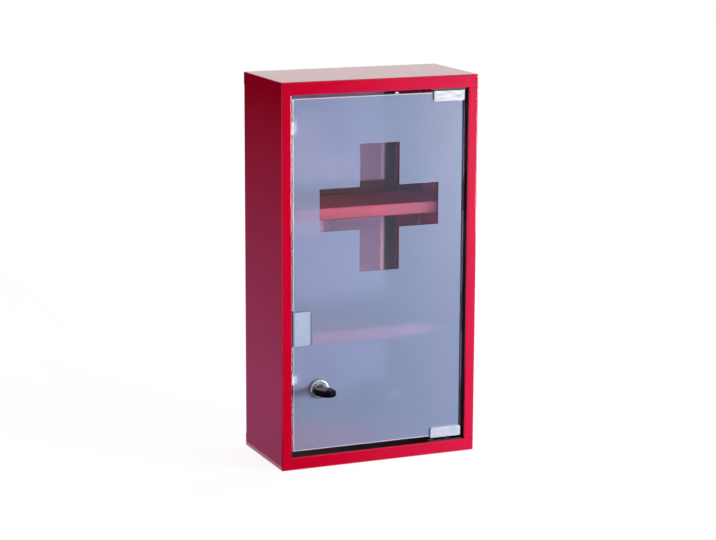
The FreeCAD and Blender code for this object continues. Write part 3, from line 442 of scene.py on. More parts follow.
class Finishes:
    """One material for each finish, made once."""

    def __init__(self) -> None:
        """Makes all the materials; a metal's or moulding's numbers are roughness, grain size and depth."""
        # Semi-gloss powder from the oven: an even deep red with a soft mirror at flat angles.
        self.red = PowderCoat().material()
        # The same powder in a matt grade, painted darker and bluer as shade that the pane does not cast: the
        # shelves glow red but mirror nothing.
        self.shelf_red_painted_shade = PowderCoat("shelf_red_matt_with_painted_shade", "#9a003e", "#94003a", 0.55).material()
        # Red paint with painted shade on the boards' inner faces: it makes the gaps round the glass nearly
        # black.
        self.painted_gap_shade = RebateWithPaintedShade().material()
        # Rolled sheet, bright zinc plated: a cloudy pale grey shine.
        self.zinc = PlatedMetal("bright_zinc_sheet", "#bcbac0", "#b0aeb5", 0.12, 9.0, 0.006).material()
        # The same sheet tinted mauve on its face into the cabinet, a painted reflection of the red inside: a
        # mauve mirror behind the shelves.
        self.zinc_painted_reflection = PlatedMetal(
            "zinc_with_painted_mauve_reflection", "#bd8da4", "#b5869c", 0.07, 9.0, 0.006
        ).material()
        # Zinc-plated rivets, pegs and screws: a plain silver glint.
        self.steel = PlatedMetal("zinc_plated_steel", "#c9c9cb", "#b3b3b6", 0.3, 1.2, 0.004).material()
        # Phosphated steel: dark grey, without a mirror.
        self.dull_steel = PlatedMetal("phosphated_steel", "#4c4a50", "#444248", 0.55, 1.2, 0.002).material()
        # Satin nickel plate: pale and even, with a fine grain across.
        self.nickel = PlatedMetal(
            "satin_nickel", "#cacacd", "#c3c3c7", 0.7, 1.4, 0.0006, stretch=(0.12, 1.0, 1.0)
        ).material()
        # Nearly black steel: dull.
        self.nearly_black = Moulding("dull_nearly_black_steel", "#17171a", "#101013", 0.45, 1.2, 0.006).material()
        # Brushed stainless sheet: a cool grey with upright brush lines.
        self.brushed = PlatedMetal(
            "brushed_stainless", "#aebacb", "#a8b3c5", 0.6, 1.2, 0.0006, stretch=(1.0, 1.0, 0.1)
        ).material()
        # Polished chrome plate: dark and bright by turns, as it mirrors the room.
        self.chrome = PlatedMetal("bright_chrome", "#eceef0", "#dfe2e6", 0.2, 2.0, 0.001).material()
        # Satin chrome plate: a broad white shine.
        self.satin_chrome = PlatedMetal("satin_chrome", "#eceef0", "#dfe2e6", 0.3, 2.0, 0.001).material()
        # Float glass: clear, and seen by its reflections.
        self.clear = ClearGlass().material()
        # Acid-etched glass: a blue-grey veil that blurs what is behind.
        self.satin = SatinGlass().material()
        # Ground glass: a thin white line along the pane's edges.
        self.ground = SatinGlass("ground_glass_edge", "#f6eef2", "#ece4e8", 0.6, 0.25).material()
        # Moulded nylon: a soft off-white.
        self.nylon = Moulding("white_nylon", "#dcdbd6", "#d2d1cc", 0.42, 1.0, 0.006).material()
        # Moulded ABS: deep black with a small highlight.
        self.black = Moulding("gloss_black_abs", "#060607", "#040405", 0.2, 1.6, 0.004, 0.05).material()
        # Soft vinyl: a dull dark grey.
        self.vinyl = Moulding("soft_grey_vinyl", "#3a3b3d", "#2e2f31", 0.6, 1.0, 0.01).material()
        # Sintered ferrite: dark and finely grainy.
        self.ferrite = Moulding("sintered_ferrite", "#2b2b2d", "#202022", 0.7, 0.8, 0.02).material()


def mesh_object(name: str, mesh: Mesh, *materials: Material) -> Piece:
    """Links a mesh into the scene as a named object at the origin.

    Args:
        name: The object's name.
        mesh: Its mesh, in metres, in place.
        materials: The materials for its slots, in order.

    Returns:
        The new object.
    """
    piece = bpy.data.objects.new(name, mesh)
    bpy.context.scene.collection.objects.link(piece)
    for material in materials:
        mesh.materials.append(material)
    return piece


def bake_modifiers(piece: Piece) -> Piece:
    """Turns a piece's evaluated shape into its plain mesh and clears its modifiers.

    Args:
        piece: The piece to bake.

    Returns:
        The same piece.
    """
    bpy.context.view_layer.update()
    graph = bpy.context.evaluated_depsgraph_get()
    mesh = bpy.data.meshes.new_from_object(piece.evaluated_get(graph))
    piece.modifiers.clear()
    piece.data = mesh
    return piece


def smooth(piece: Piece, angle: float = 32.0) -> Piece:
    """Shades a piece smooth, but sharp at its creases.

    Args:
        piece: The piece to shade.
        angle: The least angle of a crease, in degrees.

    Returns:
        The same piece.
    """
    piece.data.shade_smooth()
    piece.data.set_sharp_from_angle(angle=math.radians(angle))
    return piece


def level_flats(piece: Piece) -> Piece:
    """Leans a smooth piece's normals on its large faces, so that its flats look flat up to their edges.

    Args:
        piece: The piece to level.

    Returns:
        The same piece.
    """
    weight = piece.modifiers.new("flat_faces", "WEIGHTED_NORMAL")
    weight.mode = "FACE_AREA"
    weight.weight = FLAT_WEIGHT
    weight.keep_sharp = True
    return bake_modifiers(piece)


def soften(piece: Piece, width_mm: float, segments: int = 2, angle: float = 40.0) -> Piece:
    """Rounds a piece's sharp edges by a real width and shades it smooth, with flat flats.

    Args:
        piece: The piece to round.
        width_mm: The round's width.
        segments: How many steps the round has.
        angle: The least angle in degrees of an edge that is rounded.

    Returns:
        The same piece.
    """
    bevel = piece.modifiers.new("edge_round", "BEVEL")
    bevel.width = width_mm * MM
    bevel.segments = segments
    bevel.limit_method = "ANGLE"
    bevel.angle_limit = math.radians(angle)
    return level_flats(smooth(bake_modifiers(piece)))


def carve(piece: Piece, tool: Piece) -> Piece:
    """Cuts a tool's shape out of a piece, which takes on the tool's finish there, and deletes the tool.

    Args:
        piece: The piece to cut.
        tool: The shape to cut out.

    Returns:
        The same piece.
    """
    cut = piece.modifiers.new("cut", "BOOLEAN")
    cut.operation = "DIFFERENCE"
    cut.solver = "EXACT"
    cut.material_mode = "TRANSFER"
    cut.object = tool
    bake_modifiers(piece)
    bpy.data.objects.remove(tool)
    return piece


def settle(piece: Piece, body: Body, slot: str, *nodes: str) -> Piece:
    """Makes a piece ride on a body in place of its solids, and reports it.

    Args:
        piece: The finished piece.
        body: The body that carries it.
        slot: The record's material slot; not used.
        nodes: The solids that it stands for.

    Returns:
        The same piece.
    """
    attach(piece, body.value)
    if nodes:
        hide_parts(*nodes)
    LOG.info("%s: %d faces on %s", piece.name, len(piece.data.polygons), body.value)
    return piece


def paint_node(node: str, material: Material) -> None:
    """Gives a solid that stays as it is its finish.

    Args:
        node: The solid's name.
        material: Its finish.
    """
    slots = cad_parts[node].data.materials
    slots.clear()
    slots.append(material)
    LOG.info("%s: solid kept, finished in %s", node, material.name)


def dressed_copy(node: str, material: Material, round_mm: float) -> Piece:
    """Copies a solid's mesh, clears its flat facets and rounds its edges.

    Args:
        node: The solid's name.
        material: Its finish.
        round_mm: The edge radius.

    Returns:
        The dressed piece.
    """
    work = bmesh.new()
    work.from_mesh(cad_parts[node].data)
    bmesh.ops.remove_doubles(work, verts=work.verts, dist=WELD_MM * MM)
    flat = math.radians(FLAT_DEGREES)
    bmesh.ops.dissolve_limit(work, angle_limit=flat, verts=work.verts, edges=work.edges)
    mesh = bpy.data.meshes.new(f"{node}_dressed")
    work.to_mesh(mesh)
    work.free()
    return soften(mesh_object(f"{node}_dressed", mesh, material), round_mm)


def dress(node: str, material: Material, round_mm: float, body: Body, slot: str) -> None:
    """Puts a dressed copy of a solid in its place.

    Args:
        node: The solid's name.
        material: Its finish.
        round_mm: The edge radius.
        body: The body that carries it.
        slot: The record's material slot.
    """
    settle(dressed_copy(node, material, round_mm), body, slot, node)


def face_about(piece: Piece, material: Material, way: Triple, cosine: float) -> None:
    """Gives the faces that look one way a finish of their own.

    Args:
        piece: The piece, with one finish so far.
        material: The finish of those faces.
        way: The way that they look.
        cosine: How closely they look that way.
    """
    piece.data.materials.append(material)
    for face in piece.data.polygons:
        face.material_index = int(face.normal.dot(Vector(way)) > cosine)


def turned(name: str, profile: Sequence[Pair], sides: int) -> Mesh:
    """Turns a profile about +Z into a closed mesh at the origin.

    Args:
        name: The mesh's name.
        profile: Radius and height pairs in millimetres; a radius of zero closes an end.
        sides: How many sides the round has.

    Returns:
        The mesh, in metres.
    """
    work = bmesh.new()
    angles = [2 * math.pi * i / sides for i in range(sides)]
    rings = []
    for radius, height in profile:
        if radius == 0:
            rings.append([work.verts.new((0, 0, height * MM))])
            continue
        reach, rise = radius * MM, height * MM
        rings.append([work.verts.new((reach * math.cos(a), reach * math.sin(a), rise)) for a in angles])
    closed = profile[0][0] > 0 and profile[-1][0] > 0
    for low, high in zip(rings, rings[1:] + ([rings[0]] if closed else [])):
        for i in range(sides):
            j = (i + 1) % sides
            corners = [low[i % len(low)], low[j % len(low)], high[j % len(high)], high[i % len(high)]]
            work.faces.new(list(dict.fromkeys(corners)))
    bmesh.ops.recalc_face_normals(work, faces=work.faces)
    mesh = bpy.data.meshes.new(name)
    work.to_mesh(mesh)
    work.free()
    return mesh


def rod_profile(radius: float, half: float) -> list[Pair]:
    """The profile of a plain rod that reaches as far below zero as above it, in millimetres."""
    return [(0, -half), (radius, -half), (radius, half), (0, half)]


def box_mesh(name: str, low: Vector, high: Vector) -> Mesh:
    """A closed box between two corners.

    Args:
        name: The mesh's name.
        low: The lowest corner, in millimetres.
        high: The highest corner, in millimetres.

    Returns:
        The mesh, in metres.
    """
    work = bmesh.new()
    bmesh.ops.create_cube(work, size=1.0)
    middle = (low + high) / 2 * MM
    span = (high - low) * MM
    work.transform(Matrix.Translation(middle) @ Matrix.Diagonal((*span, 1.0)))
    mesh = bpy.data.meshes.new(name)
    work.to_mesh(mesh)
    work.free()
    return mesh


def laid(mesh: Mesh, axis: Axis, place: Vector) -> Mesh:
    """Lays a turned mesh along an axis, with its zero at a place in millimetres."""
    mesh.transform(Matrix.Translation(place * MM) @ Euler(axis.value).to_matrix().to_4x4())
    return mesh


class Repeater:
    """A Geometry Nodes tree that sets one pattern piece on each point of a mesh."""

    SOCKETS = {
        "Points": "NodeSocketGeometry",
        "Pattern": "NodeSocketObject",
        "Lay": "NodeSocketVector",
        "Roll": "NodeSocketFloat",
        "Seed": "NodeSocketInt",
        "Finish": "NodeSocketMaterial",
    }

    def __init__(self) -> None:
        """Builds the tree with its named inputs."""
        self.tree = tree = bpy.data.node_groups.new("set_of_fasteners", "GeometryNodeTree")
        self.keys = {}
        for name, kind in self.SOCKETS.items():
            socket = tree.interface.new_socket(name, in_out="INPUT", socket_type=kind)
            self.keys[name] = socket.identifier
        tree.interface.new_socket("Set", in_out="OUTPUT", socket_type="NodeSocketGeometry")
        given = add_node(tree, "NodeGroupInput").outputs
        pattern = add_node(tree, "GeometryNodeObjectInfo", {"Object": given["Pattern"]})
        chance = {"Seed": given["Seed"], RANDOM_MOST: given["Roll"]}
        roll = add_node(tree, "FunctionNodeRandomValue", chance, data_type="FLOAT")
        spin = add_node(tree, "ShaderNodeCombineXYZ", {"Z": roll.outputs[RANDOM_VALUE]})
        turn = {"Rotation": given["Lay"], "Rotate By": spin.outputs["Vector"]}
        stand = add_node(tree, "FunctionNodeRotateEuler", turn, space="LOCAL").outputs["Rotation"]
        copies = {"Points": given["Points"], "Instance": pattern.outputs["Geometry"], "Rotation": stand}
        placed = add_node(tree, "GeometryNodeInstanceOnPoints", copies).outputs["Instances"]
        real = add_node(tree, "GeometryNodeRealizeInstances", {"Geometry": placed}).outputs["Geometry"]
        dressed = {"Geometry": real, "Material": given["Finish"]}
        done = add_node(tree, "GeometryNodeSetMaterial", dressed).outputs["Geometry"]
        add_node(tree, "NodeGroupOutput", {"Set": done})

    def set_out(
        self,
        name: str,
        places: Iterable[Vector],
        pattern: Piece,
        axis: Axis,
        finish: Material,
        roll: float = 0.0,
        seed: int = 7,
    ) -> Piece:
        """Sets the pattern on every place and returns one plain mesh object.

        Args:
            name: The finished piece's name.
            places: Where each copy's zero goes, in millimetres.
            pattern: The piece to repeat, made along +Z.
            axis: Which way the copies are laid.
            finish: Their material.
            roll: The most that a copy is turned about its own axis, in radians.
            seed: The seed of that turn.

        Returns:
            The finished piece at the origin.
        """
        points = bpy.data.meshes.new(f"{name}_places")
        points.from_pydata([place * MM for place in places], [], [])
        piece = mesh_object(name, points)
        modifier = piece.modifiers.new("set_out", "NODES")
        modifier.node_group = self.tree
        values = {"Pattern": pattern, "Lay": axis.value, "Roll": roll, "Seed": seed, "Finish": finish}
        for key, value in values.items():
            modifier[self.keys[key]] = value
        return smooth(bake_modifiers(piece))


def cross_recess(pattern: Piece, reach: float, width: float, depth: float) -> None:
    """Cuts a driver's cross into a screw pattern whose head is at zero.

    Args:
        pattern: The screw.
        reach: How far each arm reaches from the middle, in millimetres.
        width: The arms' width, in millimetres.
        depth: How deep they are, in millimetres.
    """
    for half_x, half_y in ((reach, width / 2), (width / 2, reach)):
        corner = Vector((half_x, half_y, depth))
        carve(pattern, mesh_object("driver", box_mesh("driver", -corner, corner)))


def node_span(node: str) -> tuple[Vector, Vector]:
    """A solid's lowest and highest corner in millimetres."""
    low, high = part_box(node)
    return low / MM, high / MM


def solid_centres(node: str) -> list[Vector]:
    """The middle of each separate solid in a node.

    Args:
        node: The node's name.

    Returns:
        The middles in millimetres, sorted by height, then across, then in depth.
    """
    work = bmesh.new()
    work.from_mesh(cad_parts[node].data)
    bmesh.ops.remove_doubles(work, verts=work.verts, dist=WELD_MM * MM)
    waiting = set(work.verts)
    centres = []
    while waiting:
        group, edge = set(), [waiting.pop()]
        while edge:
            vert = edge.pop()
            group.add(vert)
            near = {e.other_vert(vert) for e in vert.link_edges} & waiting
            waiting -= near
            edge.extend(near)
        low = Vector(min(v.co[i] for v in group) for i in range(3))
        high = Vector(max(v.co[i] for v in group) for i in range(3))
        centres.append((low + high) / 2 / MM)
    work.free()
    return sorted(centres, key=lambda c: (round(c.z), round(c.x), round(c.y)))


@dataclass
class Carcass:
    """The four hollow boards, the back panel, the shelves and what fastens them."""

    finishes: Finishes
    repeater: Repeater
    edge_mm: float = 0.35
    shelf_edge_mm: float = 0.25
    back_edge_mm: float = 0.2
    board_cosine: float = 0.9
    back_cosine: float = 0.5
    rivet_head_mm: float = 3.0
    rivet_rise_mm: float = 1.0
    rivet_shank_mm: float = 1.6
    rivet_sides: int = 24
    dome_steps: int = 6
    peg_radius_mm: float = 2.5
    peg_chamfer_mm: float = 0.5
    peg_sides: int = 28

    def build(self) -> None:
        """Dresses every piece of the carcass."""
        inward = {"top_board": (0, 0, -1), "bottom_board": (0, 0, 1)}
        inward |= {"side_board_left": (1, 0, 0), "side_board_right": (-1, 0, 0)}
        for node, way in inward.items():
            board = dressed_copy(node, self.finishes.red, self.edge_mm)
            # The boards' inward faces take the red with painted shade, nearly black near the door's edge.
            face_about(board, self.finishes.painted_gap_shade, way, self.board_cosine)
            settle(board, Body.CABINET, "red_paint", node)
        # The shelves' darker red is painted shade, since the pane lets the lamps through unshaded.
        for node in ("lower_shelf", "upper_shelf"):
            dress(node, self.finishes.shelf_red_painted_shade, self.shelf_edge_mm, Body.CABINET, "red_paint")
        back = dressed_copy("back_panel", self.finishes.zinc, self.back_edge_mm)
        # The back's face into the cabinet takes the mauve tint: painted reflection of the red inside.
        face_about(back, self.finishes.zinc_painted_reflection, (0, -1, 0), self.back_cosine)
        settle(back, Body.CABINET, "zinc_sheet", "back_panel")
        self.rivets()
        self.pegs()

    def rivets(self) -> None:
        """Sets dome-headed rivets on the solids' places."""
        low, high = node_span("back_rivets")
        seat = high.y - self.rivet_rise_mm
        tail = low.y - seat
        profile = [(0, tail), (self.rivet_shank_mm, tail), (self.rivet_shank_mm, 0)]
        for step in range(self.dome_steps):
            angle = math.pi / 2 * step / self.dome_steps
            profile.append((self.rivet_head_mm * math.cos(angle), self.rivet_rise_mm * math.sin(angle)))
        profile.append((0, self.rivet_rise_mm))
        pattern = mesh_object("rivet_pattern", turned("rivet_pattern", profile, self.rivet_sides))
        places = [Vector((c.x, seat, c.z)) for c in solid_centres("back_rivets")]
        piece = self.repeater.set_out("back_rivet_set", places, pattern, Axis.BACK, self.finishes.steel)
        bpy.data.objects.remove(pattern)
        settle(piece, Body.CABINET, "steel", "back_rivets")

    def pegs(self) -> None:
        """Sets chamfered pegs on the solids' places."""
        centres = solid_centres("shelf_pegs")
        half = node_span("shelf_pegs")[1].x - max(c.x for c in centres)
        radius, chamfer = self.peg_radius_mm, self.peg_chamfer_mm
        nose, body = radius - chamfer, half - chamfer
        profile = [(0, -half), (nose, -half), (radius, -body), (radius, body), (nose, half), (0, half)]
        pattern = mesh_object("peg_pattern", turned("peg_pattern", profile, self.peg_sides))
        piece = self.repeater.set_out("shelf_peg_set", centres, pattern, Axis.RIGHT, self.finishes.steel)
        bpy.data.objects.remove(pattern)
        settle(piece, Body.CABINET, "steel", "shelf_pegs")


@dataclass
class DoorPane:
    """The door's glass: clear slab with an etched front field that leaves a clear cross, in a ground rim."""

    finishes: Finishes
    arris_mm: float = 0.5
    rim_mm: float = 1.3
    hinge_rim_mm: float = 3.5
    cross_span_mm: float = 152.0
    cross_arm_mm: float = 50.5
    cross_top_mm: float = 56.3
    hole_radius_mm: float = 9.5
    hole_sides: int = 64
    crease: float = 20.0

    def build(self) -> None:
        """Builds the slab, marks its etched faces and drills the lock's hole."""
        low, high = node_span("door_glass")
        finishes = (self.finishes.clear, self.finishes.satin, self.finishes.ground)
        pane = mesh_object("door_pane", self.slab(low, high), *finishes)
        lock_low, lock_high = node_span("lock_barrel")
        axis = (lock_low + lock_high) / 2
        axis.y = (low.y + high.y) / 2
        drill = turned("drill", rod_profile(self.hole_radius_mm, 2 * (high.y - low.y)), self.hole_sides)
        carve(pane, mesh_object("drill", laid(drill, Axis.BACK, axis), self.finishes.ground))
        smooth(pane, self.crease)
        pane.visible_shadow = False  # glass hardly shades the shelves, so the lamps light them through it
        settle(pane, Body.DOOR, "satin_glass", "door_glass", "satin_layer")

    def face_finish(self, x: float, z: float, low: Vector, high: Vector) -> PaneFinish:
        """The finish at a point of the front, in millimetres.

        Args:
            x: How far the point is to the right.
            z: How high it is.
            low: The pane's lowest corner.
            high: The pane's highest corner.

        Returns:
            Clear in the cross and along the hinges, ground on the rim, and else etched.
        """
        span, arm = self.cross_span_mm / 2, self.cross_arm_mm / 2
        across, up = abs(x), abs(z - (high.z - self.cross_top_mm - span))
        in_cross = (across < span and up < arm) or (across < arm and up < span)
        if in_cross or x > high.x - self.hinge_rim_mm:
            return PaneFinish.CLEAR
        inside = x > low.x + self.rim_mm and low.z + self.rim_mm < z < high.z - self.rim_mm
        return PaneFinish.ETCHED if inside else PaneFinish.GROUND

    def slab(self, low: Vector, high: Vector) -> Mesh:
        """Makes the seamed slab on a grid whose lines follow the rim and the cross.

        Args:
            low: The pane's lowest corner, in millimetres.
            high: The pane's highest corner, in millimetres.

        Returns:
            The mesh, in metres.
        """
        span, arm = self.cross_span_mm / 2, self.cross_arm_mm / 2
        middle = high.z - self.cross_top_mm - span
        lines_x = [low.x + self.arris_mm, low.x + self.rim_mm, -span, -arm, arm, span]
        lines_x += [high.x - self.hinge_rim_mm, high.x - self.arris_mm]
        lines_z = [low.z + self.arris_mm, low.z + self.rim_mm, middle - span, middle - arm, middle + arm]
        lines_z += [middle + span, high.z - self.rim_mm, high.z - self.arris_mm]
        work = bmesh.new()
        grids = []
        for y in (low.y, high.y):
            grid = [[work.verts.new(Vector((x, y, z)) * MM) for z in lines_z] for x in lines_x]
            grids.append(grid)
            for i in range(len(lines_x) - 1):
                for k in range(len(lines_z) - 1):
                    face = work.faces.new((grid[i][k], grid[i + 1][k], grid[i + 1][k + 1], grid[i][k + 1]))
                    if y == low.y:
                        centre = ((lines_x[i] + lines_x[i + 1]) / 2, (lines_z[k] + lines_z[k + 1]) / 2)
                        face.material_index = self.face_finish(*centre, low, high).value
        self.edges(work, *grids, low, high)
        bmesh.ops.recalc_face_normals(work, faces=work.faces)
        mesh = bpy.data.meshes.new("door_pane")
        work.to_mesh(mesh)
        work.free()
        return mesh

    def edges(self, work: bmesh.types.BMesh, front: Grid, rear: Grid, low: Vector, high: Vector) -> None:
        """Closes the slab's four sides with a flat edge between two arrises.

        Args:
            work: The slab's mesh so far.
            front: The front's points, as columns of the grid.
            rear: The rear's points, likewise.
            low: The pane's lowest corner, in millimetres.
            high: The pane's highest corner, in millimetres.
        """

        def outline(grid: Grid) -> list[Point]:
            """Walks the grid's border once round.

            Args:
                grid: The columns of points.

            Returns:
                The border's points in order.
            """
            last_x, last_z = len(grid) - 1, len(grid[0]) - 1
            ring = [grid[i][0] for i in range(last_x)] + [grid[last_x][k] for k in range(last_z)]
            ring += [grid[i][last_z] for i in range(last_x, 0, -1)]
            return ring + [grid[0][k] for k in range(last_z, 0, -1)]

        def pushed(vert: Point, y: float) -> Point:
            """Copies a border point out to the full outline.

            Args:
                vert: The border point.
                y: The copy's depth, in millimetres.

            Returns:
                The new point.
            """
            x, _, z = vert.co / MM
            inset = self.arris_mm + WELD_MM
            x = low.x if x < low.x + inset else high.x if x > high.x - inset else x
            z = low.z if z < low.z + inset else high.z if z > high.z - inset else z
            return work.verts.new(Vector((x, y, z)) * MM)

        first, last = outline(front), outline(rear)
        second = [pushed(vert, low.y + self.arris_mm) for vert in first]
        third = [pushed(vert, high.y - self.arris_mm) for vert in last]
        for near, far in ((first, second), (second, third), (third, last)):
            for i in range(len(near)):
                j = (i + 1) % len(near)
                work.faces.new((near[i], near[j], far[j], far[i]))


@dataclass
class Hinges:
    """The glass clamps, their liners and screws, and the pivots above and below."""

    finishes: Finishes
    repeater: Repeater
    clamp_edge_mm: float = 0.45
    pivot_edge_mm: float = 0.2
    screw_head_mm: float = 2.8
    screw_shank_mm: float = 1.5
    screw_length_mm: float = 8.0
    screw_sides: int = 28
    screw_roll: float = 1.4
    driver_reach_mm: float = 1.5
    driver_width_mm: float = 0.55
    driver_depth_mm: float = 0.7

    def build(self) -> None:
        """Dresses the clamps and pivots."""
        finishes, edge = self.finishes, self.pivot_edge_mm
        for kind, finish, edge_mm, body, slot in (
            ("hinge_clamp", finishes.nickel, self.clamp_edge_mm, Body.DOOR, "satin_nickel"),
            # The pivot plates are nearly black steel.
            ("pivot_plate", finishes.nearly_black, edge, Body.CABINET, "black_paint"),
            ("pivot_bush", finishes.black, edge, Body.CABINET, "black_plastic"),
            ("pivot_pin", finishes.steel, edge, Body.DOOR, "steel"),
        ):
            for end in ("top", "bottom"):
                dress(f"{kind}_{end}", finish, edge_mm, body, slot)
        paint_node("clamp_liners", finishes.vinyl)
        paint_node("clamp_set_screws", finishes.steel)
        self.plate_screws()

    def plate_screws(self) -> None:
        """Sets countersunk cross-headed screws flush in the pivot plates."""
        head, shank, length = self.screw_head_mm, self.screw_shank_mm, self.screw_length_mm
        profile = [(0, 0), (head, 0), (shank, -(head - shank)), (shank, -length), (0, -length)]
        pattern = mesh_object("plate_screw_pattern", turned("plate_screw_pattern", profile, self.screw_sides))
        cross_recess(pattern, self.driver_reach_mm, self.driver_width_mm, self.driver_depth_mm)
        low, high = node_span("pivot_plate_screws")
        centres = solid_centres("pivot_plate_screws")
        middle = (low.z + high.z) / 2
        for name, face, axis in (
            ("plate_screws_top", high.z - length, Axis.DOWN),
            ("plate_screws_bottom", low.z + length, Axis.UP),
        ):
            near = [c for c in centres if abs(c.z - face) < abs(middle - face) / 2]
            places = [Vector((c.x, c.y, face)) for c in near]
            piece = self.repeater.set_out(name, places, pattern, axis, self.finishes.steel, self.screw_roll)
            settle(piece, Body.CABINET, "steel")
        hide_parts("pivot_plate_screws")
        bpy.data.objects.remove(pattern)


@dataclass
class PullClip:
    """The sprung clip on the free edge and its soft liner."""

    finishes: Finishes
    edge_mm: float = 0.3

    def build(self) -> None:
        """Dresses the clip and its liner."""
        dress("pull_clip", self.finishes.brushed, self.edge_mm, Body.DOOR, "satin_nickel")
        paint_node("clip_liner", self.finishes.vinyl)


@dataclass
class Catch:
    """The magnetic catch behind the clip, and the buffers in the side gap."""

    finishes: Finishes
    case_edge_mm: float = 0.5
    buffer_edge_mm: float = 0.4

    def build(self) -> None:
        """Dresses the catch and the buffers."""
        dress("catch_case", self.finishes.nylon, self.case_edge_mm, Body.CABINET, "white_nylon")
        paint_node("catch_magnet", self.finishes.ferrite)
        paint_node("catch_pole_plates", self.finishes.steel)
        paint_node("catch_screws", self.finishes.steel)
        dress("door_buffers", self.finishes.nylon, self.buffer_edge_mm, Body.CABINET, "white_nylon")


@dataclass
class CamLock:
    """The lock: rosette and barrel, plug with its keyway, nut, cam and screw."""

    finishes: Finishes
    rosette_mm: float = 11.5
    rosette_thick_mm: float = 3.2
    rosette_round_mm: float = 1.6
    rosette_sides: int = 96
    rosette_crease: float = 40.0
    round_steps: int = 8
    barrel_mm: float = 9.0
    bore_mm: float = 6.05
    groove_mm: float = 8.2
    groove_width_mm: float = 0.6
    groove_depth_mm: float = 0.5
    dot_mm: float = 0.9
    dot_depth_mm: float = 0.6
    dot_place_mm: float = 8.9
    dot_angle: float = 45.0
    dot_sides: int = 24
    thread_pitch_mm: float = 1.0
    thread_depth_mm: float = 0.35
    thread_lead: float = 0.6
    thread_shares: tuple[float, ...] = (0.0, 0.3, 0.5, 0.8)
    ring_edge_mm: float = 0.15
    core_edge_mm: float = 0.25

    def build(self) -> None:
        """Dresses every piece of the lock."""
        self.barrel()
        dress("lock_plug", self.finishes.chrome, self.core_edge_mm, Body.LOCK_CORE, "chrome")
        for node, material, slot in (
            ("lock_gasket", self.finishes.vinyl, "soft_liner"),
            ("lock_washer", self.finishes.vinyl, "soft_liner"),
            ("lock_nut", self.finishes.steel, "steel"),
        ):
            dress(node, material, self.ring_edge_mm, Body.DOOR, slot)
        for node in ("lock_cam", "cam_screw"):
            dress(node, self.finishes.dull_steel, self.core_edge_mm, Body.LOCK_CORE, "steel")

    def barrel(self) -> None:
        """Turns the grooved rosette and the threaded barrel behind it, and sinks the dark index dot."""
        low, high = node_span("lock_barrel")
        axis = Vector(((low.x + high.x) / 2, low.y, (low.z + high.z) / 2))
        mesh = turned("lock_rosette", self.profile(high.y - low.y), self.rosette_sides)
        piece = mesh_object("lock_rosette", mesh, self.finishes.satin_chrome)
        angle = math.radians(self.dot_angle)
        place = Vector((math.cos(angle), math.sin(angle), 0)) * -self.dot_place_mm
        dot = turned("dot", rod_profile(self.dot_mm, self.dot_depth_mm), self.dot_sides)
        carve(piece, mesh_object("dot", laid(dot, Axis.UP, place), self.finishes.black))
        laid(piece.data, Axis.BACK, axis)
        settle(level_flats(smooth(piece, self.rosette_crease)), Body.DOOR, "chrome", "lock_barrel")

    def profile(self, length: float) -> list[Pair]:
        """The rosette's and barrel's half section.

        Args:
            length: The barrel's length with the rosette, in millimetres.

        Returns:
            Pairs of the radius and the distance behind the rosette's face, in millimetres.
        """
        radius, thick, round_mm = self.rosette_mm, self.rosette_thick_mm, self.rosette_round_mm
        barrel, pitch, root = self.barrel_mm, self.thread_pitch_mm, self.barrel_mm - self.thread_depth_mm
        inner, outer = (self.groove_mm + side * self.groove_width_mm / 2 for side in (-1, 1))
        section = [(self.bore_mm, length), (self.bore_mm, 0), (inner, 0), (inner, self.groove_depth_mm)]
        section += [(outer, self.groove_depth_mm), (outer, 0)]
        for step in range(self.round_steps + 1):
            angle = math.pi / 2 * step / self.round_steps
            section.append((radius - round_mm * (1 - math.sin(angle)), round_mm * (1 - math.cos(angle))))
        section += [(radius, thick), (barrel, thick)]
        for turn in range(int((length - thick) / pitch) - 1):
            start = thick + pitch * (turn + self.thread_lead)
            for edge, share in zip((barrel, root, root, barrel), self.thread_shares):
                section.append((edge, start + share * pitch))
        return section + [(barrel, length)]


@dataclass
class Key:
    """The key: a flat steel blade with a glossy moulded head."""

    finishes: Finishes
    blade_edge_mm: float = 0.15
    head_edge_mm: float = 0.5

    def build(self) -> None:
        """Dresses the blade and the head."""
        dress("key_blade", self.finishes.steel, self.blade_edge_mm, Body.KEY, "steel")
        dress("key_head", self.finishes.black, self.head_edge_mm, Body.KEY, "black_plastic")


@dataclass(frozen=True)
class ReflectionCard:
    """A card that only reflections see, or else only views through the door, to set how bright they look."""

    name: str
    corners: tuple[Triple, ...]
    colour: str = "#ffffff"
    way: Triple = (0.0, 0.0, 1.0)
    reach: Pair = (0.0, 0.5)
    levels: Pair = (0.0, 0.0)
    through_glass: bool = False

    def build(self) -> None:
        """Sets the card up: it glows from one level to the other along its way, where one is full."""
        mesh = bpy.data.meshes.new(self.name)
        mesh.from_pydata(self.corners, [], [(0, 1, 2, 3)])
        dark = {"Base_Color": BLACK, "Specular_IOR_Level": 0.0}
        glow = Shading(f"{self.name}_glow", Emission_Color=linear(self.colour), **dark)
        ends = {0: glow.place, 1: self.way}
        along = add_node(glow.tree, "ShaderNodeVectorMath", ends, operation="DOT_PRODUCT").outputs["Value"]
        (start, end), (low, high) = self.reach, self.levels
        span = {"Value": along, "From Min": start, "From Max": end, "To Min": low, "To Max": high}
        glow.link("Emission Strength", add_node(glow.tree, "ShaderNodeMapRange", span).outputs["Result"])
        card = mesh_object(self.name, mesh, glow.material)
        card.visible_camera = False
        card.visible_diffuse = False
        card.visible_glossy = not self.through_glass
        card.visible_transmission = self.through_glass
        card.visible_shadow = False


